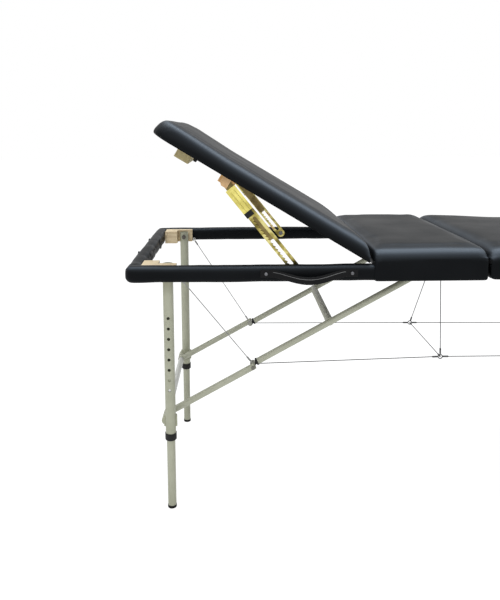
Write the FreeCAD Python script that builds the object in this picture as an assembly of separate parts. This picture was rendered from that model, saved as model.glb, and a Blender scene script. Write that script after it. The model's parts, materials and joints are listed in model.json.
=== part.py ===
import FreeCAD, Part
import math
import os
from FreeCAD import Vector

# Folding massage table with a lift-up backrest, drawn standing open with the backrest raised.
# Millimetres. Origin on the floor under the middle of the centre fold, +X to the foot end,
# +Y to the far side, +Z up. The head half reaches to -X and the foot half is its mirror image.

# Overall sizes
HALF_LENGTH = 930.0
TABLE_WIDTH = 660.0
RAIL_BOTTOM = 655.0
CENTRE_GAP = 3.0

# Wooden frame
RAIL_HEIGHT = 40.0
RAIL_WIDTH = 35.0
RAIL_ROUND = 5.0
CORNER_ROUND = 20.0
BLOCK_LENGTH = 90.0
BLOCK_DROP = 3.0
BLOCK_NOSE_LENGTH = 41.0
BLOCK_NOSE_REACH = 20.0

# Headrest sockets in the head end rail
SOCKET_SPACING = 210.0
SOCKET_BORE_R = 10.0
BUSH_WALL = 2.5
BUSH_FLANGE_R = 17.0
BUSH_FLANGE_THICK = 2.0

# Upholstery
BOARD_THICK = 9.0
PAD_THICK = 38.0
PAD_CROWN = 5.0
PAD_ROUND = 15.0
COVER_THICK = 4.0
PAD_CORNER = 55.0

# Backrest
BACKREST_HINGE_X = 302.0
BACKREST_LENGTH = 650.0
BACKREST_ANGLE = 31.2
BACKREST_MAX_ANGLE = 40.0
BACKREST_REST_GAP = 1.0
HINGE_END_GAP = 5.0
BATTEN_FROM_HINGE = 537.0
BATTEN_WIDTH = 43.0
BATTEN_THICK = 30.0
BATTEN_HALF_SPAN = 215.0

# Ratchet stays that hold the backrest
STAY_FOOT_X = 493.0
STAY_FOOT_Z = 677.0
STAY_TOP_ALONG = 425.0
STAY_TOP_DROP = 15.0
STAY_BAR_LENGTH = 204.0
STAY_BAR_WIDTH = 27.0
STAY_BAR_THICK = 4.5
STAY_SLOT_WIDTH = 9.0
STAY_TOOTH_PITCH = 10.0
STAY_TOOTH_DEPTH = 4.0
STAY_ARM_WIDTH = 22.0
STAY_ARM_LENGTH = 190.0
STAY_SLEEVE_START = 17.0
STAY_SLEEVE_LENGTH = 92.0
STAY_WEB_LENGTH = 10.0
STAY_PLATE_THICK = 2.0
STAY_BEAD_R = 1.5
STAY_BEAD_OFFSET = 5.5
STAY_SIDE_GAP = 1.0
STAY_BLOCK_BEHIND = 8.0
STAY_BLOCK_AHEAD = 16.0
STAY_BLOCK_DROP = 27.0
COLLAR_LENGTH = 15.0
STAY_PIVOT_R = 4.0

# Legs
LEG_FROM_END = 99.0
LEG_X = HALF_LENGTH - LEG_FROM_END
LEG_PIVOT_Z = 673.0
LEG_ABOVE_PIVOT = 15.0
HEAD_LEG_Y = 252.0
FOOT_LEG_Y = 218.0
LEG_R = 14.0
TUBE_WALL = 1.5
COLLAR_BOTTOM = 197.0
COLLAR_HEIGHT = 20.0
COLLAR_R = 15.7
COLLAR_SEAT = 7.0
COLLAR_ROUND = 3.0
LOWER_LEG_R = 11.5
LOWER_LEG_TOP = 388.0
FOOT_RIM_HEIGHT = 8.0
FOOT_RIM_R = 12.2
FOOT_SPIGOT_TOP = 30.0
HOLE_COUNT = 8
HOLE_PITCH = 28.6
LOWEST_HOLE_Z = 340.8
HOLE_R = 4.2
BUTTON_HOLE_NUMBER = 1
BUTTON_R = 3.9

# Folding braces
BRACE_R = 9.0
TIE_TUBE_R = 11.0
CROSSBAR_Z = 250.0
CROSSBAR_OUTSET = 13.0
BRACE_TOP_X = 61.0
BRACE_TOP_Z = 680.5
UPPER_BRACE_INSET = 54.0
BRACE_SIDE_STEP = 22.0
TIE_TUBE_X = 387.0
SADDLE_HEIGHT = 30.0
SADDLE_WALL = 4.0
SADDLE_BOSS_WALL = 2.5
BRACE_EYE_WALL = 2.0
KNEE_OVERRUN = 6.0
BRACE_END_OVERRUN = 9.0
KNUCKLE_R = 8.0
KNEE_HEAD_R = 5.5
KNEE_HEAD_THICK = 3.0

# Bolts and fits
BOLT_R = 4.0
BOLT_HEAD_R = 7.0
BOLT_HEAD_THICK = 5.0
BOLT_GRIP = 20.0
RUN_FIT = 0.08
SIDE_FIT = 1.0

# Hinges
CENTRE_HINGE_DROP = 7.5
CENTRE_HINGE_Y = 225.0
CENTRE_KNUCKLE_R = 5.0
BACK_HINGE_Y = 120.0
BACK_KNUCKLE_R = 4.0
HINGE_PIN_R = 2.0
HINGE_LENGTH = 60.0
HINGE_LEAF = 2.0
HINGE_LEAF_REACH = 36.0

# Carry handles
HANDLE_MIDDLE_X = 463.0
HANDLE_SPAN = 220.0
HANDLE_HEIGHT_Z = 675.0
HANDLE_SAG = 16.0
HANDLE_BULGE = 19.0
HANDLE_WIDTH = 20.0
HANDLE_THICK = 5.0
HANDLE_TAB = 30.0
SCREW_HEAD_R = 4.5

# Support cables
CABLE_R = 1.3
SLEEVE_R = 2.6
SLEEVE_LENGTH = 16.0
EYE_R = 5.0
EYE_WIRE_R = 1.3
EYE_INSET = 14.0
EYE_Z = 657.0
RING_X = 62.0
RING_Y = 157.0
RING_Z = 386.0
RING_R = 6.0
RING_WIRE_R = 1.5
RISER_TOP_X = 25.0
RISER_TOP_Y = 27.0

# Places that follow from the sizes above
RAIL_TOP = RAIL_BOTTOM + RAIL_HEIGHT
RAIL_OUT = TABLE_WIDTH / 2 - COVER_THICK
RAIL_IN = RAIL_OUT - RAIL_WIDTH
END_RAIL_IN = HALF_LENGTH - RAIL_WIDTH
HALF_GAP = CENTRE_GAP / 2
CENTRE_RAIL_IN = HALF_GAP + RAIL_WIDTH
BOARD_TOP = RAIL_TOP + BOARD_THICK
PAD_TOP = BOARD_TOP + PAD_THICK
FOLD_Z = RAIL_BOTTOM - CENTRE_HINGE_DROP
BACK_HINGE = Vector(-BACKREST_HINGE_X, 0, RAIL_TOP + BACKREST_REST_GAP)
MID_PAD_END = BACKREST_HINGE_X - HINGE_END_GAP
BUTTON_Z = LOWEST_HOLE_Z + (BUTTON_HOLE_NUMBER - 1) * HOLE_PITCH
AXIS_Y = Vector(0, 1, 0)
ORIGIN = Vector(0, 0, 0)


def box(x0, x1, y0, y1, z0, z1):
    return Part.makeBox(x1 - x0, y1 - y0, z1 - z0, Vector(x0, y0, z0))


def rod(start, end, radius):
    along = end - start
    return Part.makeCylinder(radius, along.Length, start, along)


def tube(start, end, radius, wall):
    return rod(start, end, radius).cut(rod(start, end, radius - wall))


def rod_y(x, z, y0, y1, radius):
    return rod(Vector(x, y0, z), Vector(x, y1, z), radius)


def fused(shapes):
    whole = shapes[0].multiFuse(shapes[1:]) if len(shapes) > 1 else shapes[0]
    return whole.removeSplitter()


def near(shape):
    return shape.mirror(ORIGIN, AXIS_Y)


def pair(far_shape):
    return [near(far_shape), far_shape]


def foot_half(shapes):
    return [s.mirror(ORIGIN, Vector(1, 0, 0)) for s in shapes]


def raised(shape):
    turned = shape.copy()
    turned.rotate(BACK_HINGE, AXIS_Y, BACKREST_ANGLE)
    return turned


def save(name, shapes):
    solids = [s for shape in shapes for s in shape.Solids]
    whole = solids[0] if len(solids) == 1 else Part.makeCompound(solids)
    if not whole.isValid():
        print("not valid:", name)
    whole.exportStep("parts/" + name + ".step")
    print(name, len(solids), round(sum(s.Volume for s in solids) / 1000.0, 1), "cm3")


# Wooden frame

def side_rail():
    rail = box(-HALF_LENGTH, -HALF_GAP, RAIL_IN, RAIL_OUT, RAIL_BOTTOM, RAIL_TOP)
    corner = [e for e in rail.Edges if is_upright(e) and touches(e, -HALF_LENGTH, RAIL_OUT)]
    rail = rail.makeFillet(CORNER_ROUND, corner)
    long_edges = [e for e in rail.Edges if e.BoundBox.XLength > HALF_LENGTH / 2]
    return rail.makeFillet(RAIL_ROUND, long_edges)


def is_upright(edge):
    return edge.BoundBox.ZLength > max(edge.BoundBox.XLength, edge.BoundBox.YLength)


def touches(edge, x, y):
    centre = edge.BoundBox.Center
    return abs(centre.x - x) < 0.01 and abs(centre.y - y) < 0.01


def cross_rail(x0, x1):
    return box(x0, x1, -RAIL_IN, RAIL_IN, RAIL_BOTTOM, RAIL_TOP)


def end_rail():
    rail = cross_rail(-HALF_LENGTH, -END_RAIL_IN)
    long_edges = [e for e in rail.Edges if e.BoundBox.YLength > RAIL_IN]
    return rail.makeFillet(RAIL_ROUND, long_edges)


def socket_bush():
    y = SOCKET_SPACING / 2
    middle_z = RAIL_BOTTOM + RAIL_HEIGHT / 2
    outside = Vector(-HALF_LENGTH, y, middle_z)
    inside = Vector(-END_RAIL_IN, y, middle_z)
    step = Vector(BUSH_FLANGE_THICK, 0, 0)
    body = rod(outside, inside, SOCKET_BORE_R + BUSH_WALL)
    flanges = [rod(outside - step, outside, BUSH_FLANGE_R), rod(inside, inside + step, BUSH_FLANGE_R)]
    return fused([body] + flanges).cut(rod(outside - step, inside + step, SOCKET_BORE_R))


def head_end_rail():
    y = SOCKET_SPACING / 2
    middle_z = RAIL_BOTTOM + RAIL_HEIGHT / 2
    start = Vector(-HALF_LENGTH, y, middle_z)
    hole = rod(start, start + Vector(RAIL_WIDTH, 0, 0), SOCKET_BORE_R + BUSH_WALL)
    return end_rail().cut(hole).cut(near(hole))


def leg_block(leg_y):
    inner = leg_y + LEG_R + 2 * SIDE_FIT
    block = box(-END_RAIL_IN, BLOCK_LENGTH - END_RAIL_IN, inner, RAIL_IN,
                RAIL_BOTTOM - BLOCK_DROP, RAIL_TOP - BLOCK_DROP)
    nose = box(-END_RAIL_IN, BLOCK_NOSE_LENGTH - END_RAIL_IN, leg_y - BLOCK_NOSE_REACH, RAIL_IN,
               RAIL_BOTTOM - BLOCK_DROP, RAIL_TOP - BLOCK_DROP)
    return fused([block, nose]).cut(leg_bolt(leg_y)).cut(cable_eye_shank())


# Upholstery

def pad_section(half_width, bottom, top):
    # Flat base, upright sides, round shoulders and a crowned top
    edge = top - PAD_CROWN
    side = edge - PAD_ROUND
    flank = half_width - PAD_ROUND
    bend = PAD_ROUND * math.sqrt(0.5)
    p = [Vector(0, -half_width, bottom), Vector(0, -half_width, side), Vector(0, -flank, edge),
         Vector(0, flank, edge), Vector(0, half_width, side), Vector(0, half_width, bottom)]
    left_bend = Vector(0, -flank - bend, side + bend)
    right_bend = Vector(0, flank + bend, side + bend)
    edges = [Part.LineSegment(p[0], p[1]), Part.Arc(p[1], left_bend, p[2]),
             Part.Arc(p[2], Vector(0, 0, top), p[3]), Part.Arc(p[3], right_bend, p[4]),
             Part.LineSegment(p[4], p[5]), Part.LineSegment(p[5], p[0])]
    return Part.Face(Part.Wire([e.toShape() for e in edges]))


def plan_block(x0, x1, half_width, bottom, top, round_at, radius):
    # Upright block whose two corners at one end are rounded in plan
    block = box(x0, x1, -half_width, half_width, bottom, top)
    corners = [e for e in block.Edges if is_upright(e) and abs(e.BoundBox.Center.x - round_at) < 0.01]
    return block.makeFillet(radius, corners)


def end_rounder(x0, x1, half_width, bottom, top, left_round, right_round):
    # Side view of a pad with its upper end edges rounded
    over = 2.0 * PAD_ROUND
    shape = box(x0, x1, -half_width - over, half_width + over, bottom - over, top)
    for x, radius in ((x0, left_round), (x1, right_round)):
        ends = [e for e in shape.Edges if e.BoundBox.YLength > half_width
                and abs(e.BoundBox.Center.x - x) < 0.01 and abs(e.BoundBox.Center.z - top) < 0.01]
        shape = shape.makeFillet(radius, ends)
    return shape


def crowned_pad(x0, x1, bottom, top, plan=None, left_round=PAD_ROUND, right_round=PAD_ROUND):
    half_width = TABLE_WIDTH / 2
    section = pad_section(half_width, bottom, top)
    section.translate(Vector(x0, 0, 0))
    pad = section.extrude(Vector(x1 - x0, 0, 0))
    pad = pad.common(end_rounder(x0, x1, half_width, bottom, top + 1.0, left_round, right_round))
    return pad.common(plan) if plan else pad


def mid_pad():
    return crowned_pad(-MID_PAD_END, -HALF_GAP, BOARD_TOP, PAD_TOP)


def mid_board():
    return box(-MID_PAD_END, -HALF_GAP, -RAIL_OUT, RAIL_OUT, RAIL_TOP, BOARD_TOP)


def side_cover(x0, x1):
    return box(x0, x1, RAIL_OUT, TABLE_WIDTH / 2, RAIL_BOTTOM, BOARD_TOP)


def foot_pad():
    corner = CORNER_ROUND + COVER_THICK
    plan = plan_block(HALF_GAP, HALF_LENGTH, TABLE_WIDTH / 2, BOARD_TOP, PAD_TOP + 1.0, HALF_LENGTH, corner)
    return crowned_pad(HALF_GAP, HALF_LENGTH, BOARD_TOP, PAD_TOP, plan)


def foot_board():
    return plan_block(HALF_GAP, HALF_LENGTH, RAIL_OUT, RAIL_TOP, BOARD_TOP, HALF_LENGTH, CORNER_ROUND)


# Backrest, drawn lying flat and then raised

def backrest_point(along, above):
    return Vector(BACK_HINGE.x - along, 0, BACK_HINGE.z + above)


def backrest_outline(bottom, top, reach, half_width):
    flat_z = BACK_HINGE.z
    far_x = BACK_HINGE.x - reach
    return plan_block(far_x, BACK_HINGE.x - HINGE_END_GAP, half_width, flat_z + bottom, flat_z + top,
                      far_x, PAD_CORNER)


def hinge_end_trim():
    # Room for the pad to swing up past the fixed pad at the greatest angle
    slope = math.tan(math.radians(BACKREST_MAX_ANGLE))
    height = 2.0 * PAD_THICK
    low = Vector(BACK_HINGE.x - HINGE_END_GAP, 0, BACK_HINGE.z)
    corners = [low, low + Vector(-slope * height, 0, height), low + Vector(height, 0, height),
               low + Vector(height, 0, 0)]
    face = Part.Face(Part.makePolygon(corners + [low]))
    face.translate(Vector(0, -TABLE_WIDTH, 0))
    return face.extrude(Vector(0, 2 * TABLE_WIDTH, 0))


def backrest_board():
    board = backrest_outline(0, BOARD_THICK, BACKREST_LENGTH - COVER_THICK, RAIL_OUT)
    return raised(board.cut(hinge_end_trim()))


def backrest_pad():
    bottom = BACK_HINGE.z + BOARD_THICK
    top = bottom + PAD_THICK
    far_x = BACK_HINGE.x - BACKREST_LENGTH
    end_x = BACK_HINGE.x - HINGE_END_GAP
    plan = backrest_outline(BOARD_THICK, BOARD_THICK + PAD_THICK + 1.0, BACKREST_LENGTH, TABLE_WIDTH / 2)
    pad = crowned_pad(far_x, end_x, bottom, top, plan, left_round=1.6 * PAD_ROUND)
    return raised(pad.cut(hinge_end_trim()))


def backrest_edge_band():
    # Cover drawn down round the edge of the board
    band = backrest_outline(0, BOARD_THICK, BACKREST_LENGTH, TABLE_WIDTH / 2)
    hole = backrest_outline(-1.0, BOARD_THICK + 1.0, BACKREST_LENGTH - COVER_THICK, RAIL_OUT)
    return raised(band.cut(hole).cut(hinge_end_trim()))


def backrest_batten():
    p = backrest_point(BATTEN_FROM_HINGE, 0)
    return raised(box(p.x - BATTEN_WIDTH, p.x, -BATTEN_HALF_SPAN, BATTEN_HALF_SPAN, p.z - BATTEN_THICK, p.z))


# Ratchet stays: a slotted bar on the rail and a sleeved arm on the backrest

STAY_OUT = RAIL_IN - SIDE_FIT - STAY_BEAD_R
SLEEVE_Y = STAY_OUT - STAY_PLATE_THICK
BAR_Y = SLEEVE_Y - STAY_SIDE_GAP - STAY_BAR_THICK
ARM_Y = BAR_Y - STAY_SIDE_GAP - STAY_PLATE_THICK
STAY_FOOT = Vector(-STAY_FOOT_X, 0, STAY_FOOT_Z)


def stay_top(angle):
    turn = math.radians(angle)
    c, s = math.cos(turn), math.sin(turn)
    x = BACK_HINGE.x - STAY_TOP_ALONG * c - STAY_TOP_DROP * s
    z = BACK_HINGE.z + STAY_TOP_ALONG * s - STAY_TOP_DROP * c
    return Vector(x, 0, z)


def stay_slope(angle):
    along = stay_top(angle) - STAY_FOOT
    return math.degrees(math.atan2(along.z, -along.x))


def stadium(x0, x1, half_width, z, y0, y1):
    # Flat bar with round ends, lying along X
    ends = [rod_y(x, z, y0, y1, half_width) for x in (x0 + half_width, x1 - half_width)]
    middle = box(x0 + half_width, x1 - half_width, y0, y1, z - half_width, z + half_width)
    return fused([middle] + ends)


def sawtooth(x, edge_z):
    # One notch in the lower side of the slot, steep on the side that takes the load
    corners = [Vector(x, BAR_Y, edge_z), Vector(x + 0.8 * STAY_TOOTH_PITCH, BAR_Y, edge_z),
               Vector(x, BAR_Y, edge_z - STAY_TOOTH_DEPTH)]
    face = Part.Face(Part.makePolygon(corners + corners[:1]))
    return face.extrude(Vector(0, STAY_BAR_THICK, 0))


def stay_bar():
    half = STAY_BAR_WIDTH / 2
    x0 = STAY_FOOT.x - STAY_BAR_LENGTH
    bar = stadium(x0, STAY_FOOT.x + half, half, STAY_FOOT.z, BAR_Y, BAR_Y + STAY_BAR_THICK)
    slot_end = STAY_FOOT.x - half
    slot_start = x0 + STAY_BAR_WIDTH
    half_slot = STAY_SLOT_WIDTH / 2
    cuts = [stadium(slot_start, slot_end, half_slot, STAY_FOOT.z, BAR_Y, BAR_Y + STAY_BAR_THICK)]
    count = int((slot_end - slot_start - STAY_SLOT_WIDTH) / STAY_TOOTH_PITCH)
    for i in range(1, count + 1):
        cuts.append(sawtooth(slot_end - half_slot - i * STAY_TOOTH_PITCH, STAY_FOOT.z - half_slot))
    cuts.append(rod_y(STAY_FOOT.x, STAY_FOOT.z, BAR_Y, BAR_Y + STAY_BAR_THICK, STAY_PIVOT_R + RUN_FIT))
    bar = bar.cut(cuts)
    bar.rotate(STAY_FOOT, AXIS_Y, stay_slope(BACKREST_ANGLE))
    return bar


def stay_arm():
    # Flat arm inside the bar and a beaded sleeve outside it, joined by a web past the bar's tip
    top = stay_top(BACKREST_ANGLE)
    half = STAY_ARM_WIDTH / 2
    bar_half = STAY_BAR_WIDTH / 2
    arm = stadium(top.x - half, top.x + STAY_ARM_LENGTH, half, top.z, ARM_Y, ARM_Y + STAY_PLATE_THICK)
    start, end = top.x + STAY_SLEEVE_START, top.x + STAY_SLEEVE_LENGTH
    bottom = top.z - bar_half - STAY_PLATE_THICK
    sleeve = box(start, end, SLEEVE_Y, STAY_OUT, bottom, top.z + bar_half)
    web = box(start, start + STAY_WEB_LENGTH, ARM_Y, STAY_OUT, top.z - half, top.z + half)
    beads = []
    for offset in (-STAY_BEAD_OFFSET, STAY_BEAD_OFFSET):
        z = top.z + offset - STAY_PLATE_THICK / 2
        beads.append(rod(Vector(start + half, STAY_OUT, z), Vector(end, STAY_OUT, z), STAY_BEAD_R))
    whole = fused([arm, web, fused([sleeve] + beads)])
    whole = whole.cut(rod_y(top.x, top.z, ARM_Y, ARM_Y + STAY_PLATE_THICK, STAY_PIVOT_R + RUN_FIT))
    whole.rotate(top, AXIS_Y, stay_slope(BACKREST_ANGLE))
    return whole


def stay_collar():
    top = stay_top(BACKREST_ANGLE)
    bar_half = STAY_BAR_WIDTH / 2
    start = top.x + STAY_SLEEVE_LENGTH
    bottom = top.z - bar_half - STAY_PLATE_THICK
    collar = box(start, start + COLLAR_LENGTH, SLEEVE_Y, STAY_OUT, bottom, top.z + bar_half / 2)
    collar.rotate(top, AXIS_Y, stay_slope(BACKREST_ANGLE))
    return collar


def stay_bolt():
    # Shoulder against the rail, shank into the wood
    z, x = STAY_FOOT.z, STAY_FOOT.x
    parts = [rod_y(x, z, BAR_Y - SIDE_FIT - STAY_PLATE_THICK, BAR_Y - SIDE_FIT, BOLT_HEAD_R),
             rod_y(x, z, BAR_Y - SIDE_FIT, RAIL_IN + BOLT_GRIP, STAY_PIVOT_R),
             rod_y(x, z, BAR_Y + STAY_BAR_THICK + SIDE_FIT / 2, RAIL_IN, BOLT_HEAD_R)]
    return fused(parts)


BRACKET_Y = ARM_Y - SIDE_FIT - 2 * STAY_PLATE_THICK
BRACKET_DEPTH = STAY_TOP_DROP + 1.8 * STAY_PIVOT_R


def stay_pin():
    p = backrest_point(STAY_TOP_ALONG, 0)
    return rod_y(p.x, p.z - STAY_TOP_DROP, BRACKET_Y, STAY_OUT - STAY_PLATE_THICK, STAY_PIVOT_R)


def stay_bracket():
    p = backrest_point(STAY_TOP_ALONG, 0)
    ear = box(p.x - STAY_ARM_WIDTH, p.x + STAY_ARM_WIDTH, BRACKET_Y, BRACKET_Y + 2 * STAY_PLATE_THICK,
              p.z - BRACKET_DEPTH, p.z)
    return raised(fused([ear, stay_pin()]))


def stay_block():
    # Wooden block outside the arm's eye that takes the end of the pin
    p = backrest_point(STAY_TOP_ALONG, 0)
    back, front = p.x + STAY_BLOCK_BEHIND, p.x - STAY_BLOCK_AHEAD
    bottom = p.z - STAY_BLOCK_DROP
    y = ARM_Y + STAY_PLATE_THICK + STAY_SIDE_GAP
    corners = [Vector(back, y, p.z), Vector(back, y, bottom), Vector(front + STAY_BLOCK_BEHIND, y, bottom),
               Vector(front, y, bottom + STAY_BLOCK_BEHIND), Vector(front, y, p.z)]
    block = Part.Face(Part.makePolygon(corners + corners[:1])).extrude(Vector(0, STAY_OUT - y, 0))
    return raised(block.cut(stay_pin()))


# Hinges

def knuckles(axis, middle_y, radius, own_middle):
    third = HINGE_LENGTH / 3
    low = middle_y - HINGE_LENGTH / 2
    wanted = [1] if own_middle else [0, 2]
    return [(low + i * third + SIDE_FIT / 4, low + (i + 1) * third - SIDE_FIT / 4) for i in wanted]


def hinge_leaf(axis, middle_y, radius, own_middle, side, plate_low, plate_high):
    # Plate to one side of the pin, joined to its own knuckles only
    near_x = axis.x + side * (radius + 3 * SIDE_FIT)
    far_x = axis.x + side * HINGE_LEAF_REACH
    low, high = middle_y - HINGE_LENGTH / 2, middle_y + HINGE_LENGTH / 2
    shapes = [box(min(near_x, far_x), max(near_x, far_x), low, high, plate_low, plate_high)]
    for y0, y1 in knuckles(axis, middle_y, radius, own_middle):
        shapes.append(rod_y(axis.x, axis.z, y0, y1, radius))
        shapes.append(box(min(axis.x, near_x), max(axis.x, near_x), y0, y1, plate_low, plate_high))
    return fused(shapes).cut(rod_y(axis.x, axis.z, low, high, HINGE_PIN_R + RUN_FIT))


FOLD_AXIS = Vector(0, 0, FOLD_Z)


def fold_leaf(side, own_middle):
    thick = RAIL_BOTTOM - (FOLD_Z + CENTRE_KNUCKLE_R) + HINGE_LEAF / 2
    return hinge_leaf(FOLD_AXIS, CENTRE_HINGE_Y, CENTRE_KNUCKLE_R, own_middle, side,
                      RAIL_BOTTOM - thick, RAIL_BOTTOM)


def backrest_fixed_leaf():
    return hinge_leaf(BACK_HINGE, BACK_HINGE_Y, BACK_KNUCKLE_R, False, 1, RAIL_TOP - HINGE_LEAF, RAIL_TOP)


def backrest_moving_leaf():
    z = BACK_HINGE.z
    return raised(hinge_leaf(BACK_HINGE, BACK_HINGE_Y, BACK_KNUCKLE_R, True, -1, z - HINGE_LEAF, z))


def hinge_pin(axis, middle_y):
    return rod_y(axis.x, axis.z, middle_y - HINGE_LENGTH / 2, middle_y + HINGE_LENGTH / 2, HINGE_PIN_R)


# Legs, drawn for the far side of the head half

def leg_tube(leg_y):
    top = LEG_PIVOT_Z + LEG_ABOVE_PIVOT
    foot = COLLAR_BOTTOM + COLLAR_SEAT
    leg = tube(Vector(-LEG_X, leg_y, foot), Vector(-LEG_X, leg_y, top), LEG_R, TUBE_WALL)
    cuts = [rod_y(-LEG_X, LEG_PIVOT_Z, leg_y - LEG_R, leg_y + LEG_R, BOLT_R + RUN_FIT)]
    for i in range(HOLE_COUNT):
        z = LOWEST_HOLE_Z + i * HOLE_PITCH
        cuts.append(rod_y(-LEG_X, z, leg_y, leg_y + LEG_R, HOLE_R))
    return leg.cut(cuts)


def leg_collar(leg_y):
    def ring(z0, z1, radius):
        return rod(Vector(-LEG_X, leg_y, z0), Vector(-LEG_X, leg_y, z1), radius)
    seat = COLLAR_BOTTOM + COLLAR_SEAT
    top = COLLAR_BOTTOM + COLLAR_HEIGHT
    cup = ring(COLLAR_BOTTOM, top, COLLAR_R)
    lower_rim = [e for e in cup.Edges if e.BoundBox.ZLength < 0.01 and e.BoundBox.Center.z < seat]
    collar = cup.makeFillet(COLLAR_ROUND, lower_rim).cut(ring(seat, top, LEG_R))
    return collar.cut(ring(COLLAR_BOTTOM, seat, LOWER_LEG_R + 2 * RUN_FIT))


def leg_bolt(leg_y):
    inside = leg_y - LEG_R
    outside = leg_y + LEG_R
    wood = outside + 2 * SIDE_FIT
    parts = [rod_y(-LEG_X, LEG_PIVOT_Z, inside - SIDE_FIT - BOLT_HEAD_THICK, inside - SIDE_FIT, BOLT_HEAD_R),
             rod_y(-LEG_X, LEG_PIVOT_Z, inside - SIDE_FIT, wood + BOLT_GRIP, BOLT_R),
             rod_y(-LEG_X, LEG_PIVOT_Z, outside + SIDE_FIT, wood, BOLT_HEAD_R)]
    return fused(parts)


def lower_leg(leg_y):
    leg = tube(Vector(-LEG_X, leg_y, FOOT_RIM_HEIGHT), Vector(-LEG_X, leg_y, LOWER_LEG_TOP),
               LOWER_LEG_R, TUBE_WALL)
    return leg.cut(rod_y(-LEG_X, BUTTON_Z, leg_y, leg_y + LOWER_LEG_R, BUTTON_R + RUN_FIT))


def foot_cap(leg_y):
    # Rubber tip under the tube, on a spigot pushed up inside it
    floor = Vector(-LEG_X, leg_y, 0)
    rim = rod(floor, floor + Vector(0, 0, FOOT_RIM_HEIGHT), FOOT_RIM_R)
    bottom = [e for e in rim.Edges if e.BoundBox.ZLength < 0.01 and abs(e.BoundBox.Center.z) < 0.01]
    spigot = rod(floor + Vector(0, 0, FOOT_RIM_HEIGHT), floor + Vector(0, 0, FOOT_SPIGOT_TOP),
                 LOWER_LEG_R - TUBE_WALL)
    return fused([rim.makeFillet(1.6, bottom), spigot])


def snap_button(leg_y):
    # Pin that shows through the hole in the outer tube, on a flange inside the lower leg
    reach = LEG_R - TUBE_WALL - SIDE_FIT / 2
    inner = LOWER_LEG_R - TUBE_WALL
    flange_r = BUTTON_R + 1.5
    flange_top = math.sqrt(inner ** 2 - flange_r ** 2) - SIDE_FIT / 4
    pin = rod_y(-LEG_X, BUTTON_Z, leg_y + flange_top - 2.0, leg_y + reach, BUTTON_R)
    tip = [e for e in pin.Edges
           if e.BoundBox.YLength < 0.01 and abs(e.BoundBox.Center.y - leg_y - reach) < 0.01]
    pin = pin.makeFillet(1.2, tip)
    flange = rod_y(-LEG_X, BUTTON_Z, leg_y + flange_top - 2.0, leg_y + flange_top, flange_r)
    return fused([pin, flange])


# Folding braces

CROSSBAR = Vector(-LEG_X - CROSSBAR_OUTSET, 0, CROSSBAR_Z)
BRACE_TOP = Vector(-BRACE_TOP_X, 0, BRACE_TOP_Z)


def knee_point():
    # Place of the knee for which both braces lie flat when the leg has folded through 90 degrees
    pivot = Vector(-LEG_X, 0, LEG_PIVOT_Z)
    drop = CROSSBAR - pivot
    folded_bar = pivot + Vector(-drop.z, 0, drop.x)
    reach = BRACE_TOP.x - folded_bar.x
    rise = BRACE_TOP.z - folded_bar.z
    whole = (BRACE_TOP - CROSSBAR).Length
    upper = (whole ** 2 - reach ** 2 - rise ** 2) / (2 * (whole - reach))
    return BRACE_TOP + (CROSSBAR - BRACE_TOP) * (upper / whole)


KNEE = knee_point()
BRACE_LINE = (BRACE_TOP - CROSSBAR).normalize()


def at_y(point, y):
    return Vector(point.x, y, point.z)


def upper_brace_y(leg_y):
    return leg_y - LEG_R - UPPER_BRACE_INSET


def lower_brace_y(leg_y):
    return upper_brace_y(leg_y) + BRACE_SIDE_STEP


def leg_crossbar(leg_y):
    reach = leg_y - LEG_R - 3 * SIDE_FIT
    return tube(at_y(CROSSBAR, -reach), at_y(CROSSBAR, reach), BRACE_R, TUBE_WALL)


def crossbar_saddle(leg_y):
    low, high = CROSSBAR_Z - SADDLE_HEIGHT / 2, CROSSBAR_Z + SADDLE_HEIGHT / 2
    ring = rod(Vector(-LEG_X, leg_y, low), Vector(-LEG_X, leg_y, high), LEG_R + SADDLE_WALL)
    boss = rod_y(CROSSBAR.x, CROSSBAR.z, leg_y - 2.2 * LEG_R, leg_y, BRACE_R + SADDLE_BOSS_WALL)
    leg_room = rod(Vector(-LEG_X, leg_y, low), Vector(-LEG_X, leg_y, high), LEG_R)
    bar_room = rod_y(CROSSBAR.x, CROSSBAR.z, 0, leg_y - LEG_R - 3 * SIDE_FIT, BRACE_R)
    outer_side = box(-LEG_X - 3 * LEG_R, -LEG_X + 3 * LEG_R, leg_y + SADDLE_WALL / 2, leg_y + 2 * LEG_R,
                     low, high)
    return fused([ring, boss]).cut(leg_room).cut(bar_room).cut(outer_side)


def lower_brace(leg_y):
    y = lower_brace_y(leg_y)
    start, end = at_y(CROSSBAR, y), at_y(KNEE, y) + BRACE_LINE * KNEE_OVERRUN
    eye_r = BRACE_R + BRACE_EYE_WALL
    eye = rod_y(CROSSBAR.x, CROSSBAR.z, y - BRACE_R - SIDE_FIT, y + BRACE_R + SIDE_FIT, eye_r)
    bar = rod(start, end, BRACE_R).cut(rod(start + BRACE_LINE * (eye_r + SIDE_FIT), end, BRACE_R - TUBE_WALL))
    bore = rod_y(CROSSBAR.x, CROSSBAR.z, y - 2 * BRACE_R, y + 2 * BRACE_R, BRACE_R + RUN_FIT)
    bar = fused([bar, eye]).cut(bore)
    return bar.cut(knee_bolt(leg_y))


def knee_bolt(leg_y):
    y = lower_brace_y(leg_y)
    shank = rod_y(KNEE.x, KNEE.z, y - BRACE_R - SIDE_FIT, y + BRACE_R, BOLT_R)
    head = rod_y(KNEE.x, KNEE.z, y + BRACE_R, y + BRACE_R + KNEE_HEAD_THICK, KNEE_HEAD_R)
    return fused([shank, head])


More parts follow.
